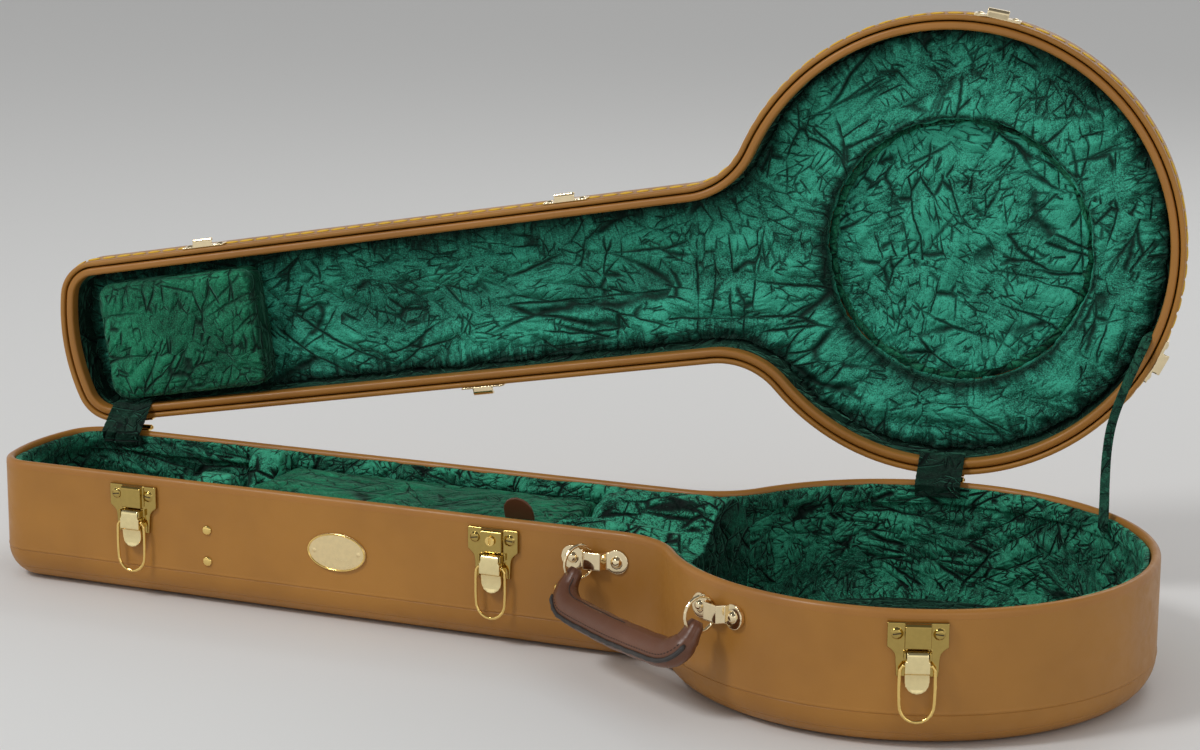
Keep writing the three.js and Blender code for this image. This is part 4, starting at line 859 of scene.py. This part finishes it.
def makeStrap(v):
    def place(degrees, radius, z):
        return Vector((radius * cos(radians(degrees)), radius * sin(radians(degrees)), z)) * mm
    lidRadius = c["boutRadius"] - c["lidWall"] - v["underLining"] - v["gap"] - v["thickness"] / 2
    baseRadius = c["boutRadius"] - v["underRoll"] - v["gap"] - v["thickness"] / 2
    overLid = openTurn @ place(v["lidDegrees"], lidRadius, lidLow - v["out"])
    overBase = place(v["baseDegrees"], baseRadius, c["baseHeight"] + v["out"])
    points = [
        openTurn @ place(v["lidDegrees"], lidRadius, lidLow + v["lidReach"]), overLid,
        overLid.lerp(overBase, 0.45) - Vector((v["bow"] * mm, v["bow"] * 0.4 * mm, v["sag"] * mm)), overBase,
        place(v["baseDegrees"], baseRadius, c["baseHeight"] - v["baseReach"]),
    ]
    path = smoothPath(points, v["steps"])
    acrossLid = openTurn.to_3x3() @ place(v["lidDegrees"] + 90, 1000, 0)
    acrossBase = place(v["baseDegrees"] + 90, 1000, 0)
    facing = Vector((-0.92, -0.39, 0))
    rings = []
    for i, point in enumerate(path):
        share = i / (len(path) - 1)
        ahead = (path[min(i + 1, len(path) - 1)] - path[max(i - 1, 0)]).normalized()
        twist = min(max((share - 0.1) / 0.8, 0), 1)
        across = acrossLid.lerp(acrossBase, twist * twist * (3 - 2 * twist))
        across = across.lerp(facing, 0.9 * sin(pi * share) ** 0.7)
        across = (across - across.dot(ahead) * ahead).normalized()
        through = ahead.cross(across)
        width = v["width"] * (1 - v["narrower"] * sin(pi * share))
        rings.append([point + across * (width / 2 * cos(a) * mm) + through * (v["thickness"] / 2 * sin(a) * mm)
                      for a in (2 * pi * k / v["sides"] for k in range(v["sides"]))])
    middle = len(rings) // 2
    halves = (("upper", rings[:middle + 1], "lid", path[0], path[middle] - path[0], ["stay_strap"]),
              ("lower", rings[middle:], "case_base", path[-1], path[middle] - path[-1], []))
    for name, part, body, anchor, along, replaced in halves:
        mesh = crushed(skinOf(part, True), 0.25, strapPlush, shift=(4, 4, 1))
        half = newPiece("stay_strap_" + name, mesh, None, body, replaced, sharp=0)
        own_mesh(half)


makeStrap(strapValues)
print("flaps and strap made")

# Fittings: the solids with their edges rounded over and polished
bodyOf = {node: body for body, held in frame["record"]["behaviour"]["bodies"].items() for node in held}
fittingValues = [
    # start of the names, voxel, smoothing
    ("latch_plate_", 0.5, 3), ("latch_lever_", 0.5, 4), ("latch_bail_", 0.4, 8), ("catch_", 0.5, 3),
    ("hinge_leaf_", 0.55, 2), ("handle_bracket_", 0.5, 4), ("handle_ring_", 0.4, 8), ("badge_plate", 0.5, 5),
    ("cradle_rivet_", 0.3, 4), ("heel_rivet", 0.3, 4), ("lock_cylinder", 0.3, 3),
]
metalOf = {"badge_plate": satinGold, "handle_bracket_": paleGold, "handle_ring_": paleGold, "catch_": paleGold,
           "latch_plate_": darkReflectionGold, "latch_lever_": leverGold}


def makeFittings():
    total = 0
    for start, voxel, smoothing in fittingValues:
        for node in [name for name in nodes if name.startswith(start)]:
            mesh = remeshed(nodeCopy(node), voxel, smoothing)
            total += len(mesh.polygons)
            metal = metalOf.get(start, gold)
            newPiece(node + "_polished", mesh, metal, bodyOf[node], [node], sharp=0)
    print("fittings", total)


makeFittings()

# Places on the walls
latchPlaces = {"head": ("neck", 154, -1), "middle": ("neck", 500, -1), "back": ("neck", 398, 1),
               "front": ("bout", -71, 0), "end": ("bout", 35.6, 0)}


def wallFrame(kind, place, side, height):
    if kind == "neck":
        x = place - c["headReach"]
        point, angle = Vector((x, side * neckHalf(x), height)), side * (pi / 2 + atan(neckSlope))
    else:
        angle = radians(place)
        point = Vector((c["boutRadius"] * cos(angle), c["boutRadius"] * sin(angle), height))
    out = Vector((cos(angle), sin(angle), 0))
    up = Vector((0, 0, 1))
    turn = Matrix((up.cross(out), up, out)).transposed().to_4x4()
    return Matrix.Translation(point * mm) @ turn @ Matrix.Scale(mm, 4)


# Raised bare edge of the oval plate
badgeValues = {
    "fromHead": 353, "height": 63.2, "halfLong": 26.9, "halfTall": 15.7, "out": 1.7, "wide": 0.8, "high": 0.7,
}


def makeBadgeEdge(v):
    wall = wallFrame("neck", v["fromHead"], -1, v["height"])
    rings = []
    for b in (2 * pi * i / 120 for i in range(120)):
        rings.append([wall @ Vector((
            (v["halfLong"] + v["wide"] * cos(a)) * cos(b), (v["halfTall"] + v["wide"] * cos(a)) * sin(b),
            v["out"] + v["high"] * sin(a))) for a in (2 * pi * k / 10 for k in range(10))])
    newPiece("badge_edge", skinOf(rings), gold, "case_base", sharp=0)


makeBadgeEdge(badgeValues)


# Rows of stitches, and the slots of the screws
def makeStitchTree():
    tree, given, out = newGroup(
        "stitchRow", "GeometryNodeTree",
        [("Geometry", "Geometry", None), ("Pitch", "Float", 0.015),
         ("Length", "Float", 0.0135), ("Width", "Float", 0.0016),
         ("Thickness", "Float", 0.0016),
         ("Seed", "Int", 3), ("Material", "Material", None)],
        [("Geometry", "Geometry")])
    path = addNode(tree, "GeometryNodeMeshToCurve", {"Mesh": given["Geometry"]})
    points = addNode(tree, "GeometryNodeCurveToPoints", {"Curve": path.outputs[0], "Length": given["Pitch"]},
                     mode="LENGTH")
    ball = addNode(tree, "GeometryNodeMeshUVSphere", {"Segments": 10, "Rings": 8, "Radius": 0.5})
    turn = addNode(tree, "FunctionNodeAlignRotationToVector", {"Vector": points.outputs["Tangent"]}, axis="X")
    uneven = addNode(tree, "FunctionNodeRandomValue", {"Seed": given["Seed"]}, data_type="FLOAT")
    uneven.inputs[2].default_value, uneven.inputs[3].default_value = 0.88, 1.04
    size = addNode(tree, "ShaderNodeCombineXYZ", {
        0: calc(tree, "MULTIPLY", given["Length"], uneven.outputs[1]), 1: given["Thickness"], 2: given["Width"]})
    stitches = addNode(tree, "GeometryNodeInstanceOnPoints", {
        "Points": points.outputs["Points"], "Instance": ball.outputs[0], "Rotation": turn.outputs[0],
        "Scale": size.outputs[0]})
    real = addNode(tree, "GeometryNodeRealizeInstances", {"Geometry": stitches.outputs[0]})
    smooth = addNode(tree, "GeometryNodeSetShadeSmooth", {"Geometry": real.outputs[0]})
    dressed = addNode(tree, "GeometryNodeSetMaterial", {
        "Geometry": smooth.outputs[0], "Material": given["Material"]})
    tree.links.new(dressed.outputs[0], out["Geometry"])
    return tree


stitchTree = makeStitchTree()


def stitched(name, paths, v, material, body, turn=None):
    points, edges = [], []
    for path in paths:
        edges += [(len(points) + i, len(points) + i + 1) for i in range(len(path) - 1)]
        points += [tuple(p) for p in path]
    mesh = bpy.data.meshes.new(name)
    mesh.from_pydata(points, edges, [])
    result = treeResult(mesh, stitchTree, {
        "Pitch": v["pitch"] * mm, "Length": v["length"] * mm, "Width": v["width"] * mm,
        "Thickness": v["thickness"] * mm, "Material": material})
    return newPiece(name, result, None, body, sharp=0, turn=turn)


lidStitchValues = {"height": 13, "gap": 21, "out": 0.3, "pitch": 14.8, "length": 14.4, "width": 6.5, "thickness": 2.2}


def makeLidStitches(v):
    height = lidLow + v["height"]
    catches = [wallFrame(*place, height).translation for place in latchPlaces.values()]
    ring = finely([Vector((x, y, height)) * mm for x, y in outline(v["out"], clothCounts)], 3.0)
    clear = [min((p - q).length for q in catches) > v["gap"] * mm for p in ring]
    start = clear.index(False)
    paths, path = [], []
    for k in range(len(ring)):
        i = (start + k) % len(ring)
        if clear[i]:
            path.append(ring[i])
        elif path:
            paths.append(path)
            path = []
    paths = [p for p in paths + [path] if len(p) > 4]
    stitched("lid_edge_stitches", paths, v, yellowThread, "lid", openTurn)


makeLidStitches(lidStitchValues)

slotValues = {"below": 16.9, "apart": 15.8, "out": 5.15, "size": (6.4, 1.0, 0.7, 1), "bevel": 0.15,
              "sides": (("left", -1, 0.15), ("right", 1, -0.1))}


def makeScrewSlots(v):
    for name, place in latchPlaces.items():
        wall = wallFrame(*place, c["baseHeight"] - v["below"])
        for label, side, lean in v["sides"]:
            turn = wall @ Matrix.Translation((side * v["apart"], 0, v["out"])) @ Matrix.Rotation(lean, 4, "Z")
            slot = bmesh.new()
            bmesh.ops.create_cube(slot, size=1, matrix=Matrix.Diagonal(v["size"]))
            bmesh.ops.bevel(slot, geom=slot.edges, offset=v["bevel"], segments=1, affect="EDGES")
            mesh = bpy.data.meshes.new("slot")
            slot.to_mesh(mesh)
            slot.free()
            mesh.transform(turn)
            newPiece(f"screw_slot_{name}_{label}", mesh, slotMetal, "case_base")


makeScrewSlots(slotValues)

# Handle: a padded leather grip with a seam, a welt and a row of stitches
gripValues = {"out": 20, "drop": 33, "thick": 12.4, "deep": 10.4, "endThick": 8.6, "endDeep": 6.0, "sides": 48,
              "steps": 96, "ringRadius": 14.3, "tunnel": 2.4, "height": 85, "fromHead": 591, "degrees": -119.6,
              "seamAngle": 3.75, "weltAngle": 5.55, "weltRadius": 1.9, "seamRadius": 0.6}
gripStitchValues = {"pitch": 3.4, "length": 2.4, "width": 0.8, "thickness": 0.8}


def makeGrip(v):
    left = wallFrame("neck", v["fromHead"], -1, v["height"]) @ Vector((0, 0, v["tunnel"]))
    right = wallFrame("bout", v["degrees"], 0, v["height"]) @ Vector((0, 0, v["tunnel"]))
    along = right - left
    span = along.length / mm
    along.normalize()
    out = along.cross(Vector((0, 0, 1))).normalized()
    centre = left + out * v["ringRadius"] * mm
    away = Matrix.Rotation(atan2(v["drop"], v["out"]), 3, along) @ out
    side = along.cross(away)
    reach = hypot(v["out"], v["drop"])
    half = [(0, 0.14, 0), (0, 0.4, 0.12), (0.005, 0.62, 0.6), (0.035, 0.82, 0.95), (0.1, 0.96, 1), (0.22, 1, 1),
            (0.38, 1.02, 1)]
    shares = half + [(0.5, 1.03, 1)] + [(1 - a, b, d) for a, b, d in reversed(half)]
    path = smoothPath([Vector(share) for share in shares], v["steps"])

    def at(i):
        return centre + along * (span * path[i][0] * mm) + away * (reach * path[i][1] * mm)
    rings, welt, row, seam = [], [], [], []
    for i in range(len(path)):
        ahead = (at(min(i + 1, len(path) - 1)) - at(max(i - 1, 0))).normalized()
        thickAxis = ahead.cross(side)
        full = min(max(path[i][2], 0), 1)
        bend = 0.3 * full * sin(i * 0.55) * sin(i * 0.37 + 1)
        bend -= 1.1 * max(0, 1 - abs(i / (len(path) - 1) - 0.865) / 0.012)
        bend -= 3.2 * max(0, 1 - min(i, len(path) - 1 - i) / 2.5)
        thick = v["endThick"] + (v["thick"] - v["endThick"]) * full + bend
        deep = v["endDeep"] + (v["deep"] - v["endDeep"]) * full + 0.6 * bend
        ring = []
        for k in range(v["sides"]):
            a = 2 * pi * k / v["sides"]
            dip = 0.0
            for line, depth in ((v["seamAngle"], 0.7), (v["weltAngle"], 0.5)):
                dip += depth * max(0, 1 - abs(a - line) / 0.14)
            ring.append(at(i) - thickAxis * ((thick - dip) * cos(a) * mm) + side * ((deep - dip) * sin(a) * mm))
        rings.append(ring)
        share = i / (len(path) - 1)
        lines = ((v["weltAngle"], 0.5 + 0.4 * sin(i * 1.9), welt, 0.17, 0.86),
                 (v["weltAngle"] - 0.4, 0.1, row, 0.2, 0.84), (v["seamAngle"], -0.5, seam, 0.05, 0.55))
        for angle, more, line, start, end in lines:
            if start < share < end:
                line.append(at(i) - thickAxis * ((thick + more) * cos(angle) * mm)
                            + side * ((deep + more) * sin(angle) * mm))
    newPiece("handle_grip_leather", skinOf(rings, True), brownLeather, "handle", ["handle_grip"],
             sharp=60)
    newPiece("handle_welt", tubeOf(welt, v["weltRadius"], 8), weltLeather, "handle", sharp=0)
    newPiece("handle_seam", tubeOf(seam, v["seamRadius"], 8), brownThread, "handle", sharp=0)
    stitched("handle_stitches", [row], gripStitchValues, brownThread, "handle")


def tubeOf(path, radius, sides):
    rings = []
    for i, point in enumerate(path):
        ahead = (path[min(i + 1, len(path) - 1)] - path[max(i - 1, 0)]).normalized()
        first = ahead.orthogonal().normalized() if i == 0 else (first - first.dot(ahead) * ahead).normalized()
        other = ahead.cross(first)
        thin = radius * (0.5 if i in (0, len(path) - 1) else 1)
        rings.append([point + (first * cos(a) + other * sin(a)) * (thin * mm)
                      for a in (2 * pi * k / sides for k in range(sides))])
    return skinOf(rings, True)


makeGrip(gripValues)
newPiece("accessory_tab_leather", remeshed(nodeCopy("accessory_tab"), 0.6, 4), brownLeather, "accessory_lid",
         ["accessory_tab"], sharp=0)
print("handle made")

# The few solids left keep their shape and get their finish
for name, node in nodes.items():
    if not node.hide_render:
        node.data.materials.clear()
        node.data.materials.append(gold)

# Floor, lamps and sky
stageValues = {
    "floorColor": (0.80, 0.80, 0.79, 1), "floorHalf": 9, "floorHeight": -0.0005, "sky": (0.46, 0.46, 0.46, 1),
    "backdrop": (0.86, 0.86, 0.855, 1), "ceiling": (0.16, 0.16, 0.16, 1),
    "lamps": (
        # name, place, aim, size, power
        ("key", (-2.1, -2.5, 3.3), (-0.2, 0.0, 0.15), 1.0, 60),
        ("fill", (2.6, -2.4, 1.6), (-0.1, 0.0, 0.2), 1.8, 7),
        ("back", (0.2, 2.4, 2.4), (-0.2, 0.0, 0.3), 1.6, 16),
    ),
}


def makeStage(v):
    half = v["floorHalf"]
    mesh = meshOf([(-half, -half, 0), (half, -half, 0), (half, half, 0), (-half, half, 0)], [(0, 1, 2, 3)])
    floor = linked("floor", mesh)
    floor.location.z = v["floorHeight"]
    material, tree, shader, _ = newMaterial("paleFloor", v["floorColor"])
    shader.inputs["Base Color"].default_value = v["floorColor"]
    shader.inputs["Roughness"].default_value = 0.9
    mesh.materials.append(material)
    world = bpy.data.worlds.new("studio")
    world.use_nodes = True
    bpy.context.scene.world = world
    tree = world.node_tree
    background = tree.nodes["Background"]
    rays = addNode(tree, "ShaderNodeLightPath").outputs
    seen = calc(tree, "MAXIMUM", rays["Is Camera Ray"], rays["Is Transmission Ray"])
    seen = calc(tree, "MAXIMUM", seen, rays["Is Glossy Ray"])
    height = addNode(tree, "ShaderNodeSeparateXYZ", {0: addNode(tree, "ShaderNodeTexCoord").outputs["Generated"]})
    high = rangeOf(tree, height.outputs[2], 0.12, 0.75)
    backdrop = mixColors(tree, high, v["backdrop"], v["ceiling"])
    tree.links.new(mixColors(tree, seen, v["sky"], backdrop), background.inputs["Color"])
    background.inputs["Strength"].default_value = 1.0
    for name, place, aim, size, power in v["lamps"]:
        data = bpy.data.lights.new(name, "AREA")
        data.shape, data.size, data.energy = "DISK", size, power
        lamp = linked(name, data)
        lamp.location = place
        lamp.rotation_euler = (Vector(aim) - Vector(place)).to_track_quat("-Z", "Y").to_euler()


makeStage(stageValues)
bpy.context.scene.view_settings.view_transform = "Standard"
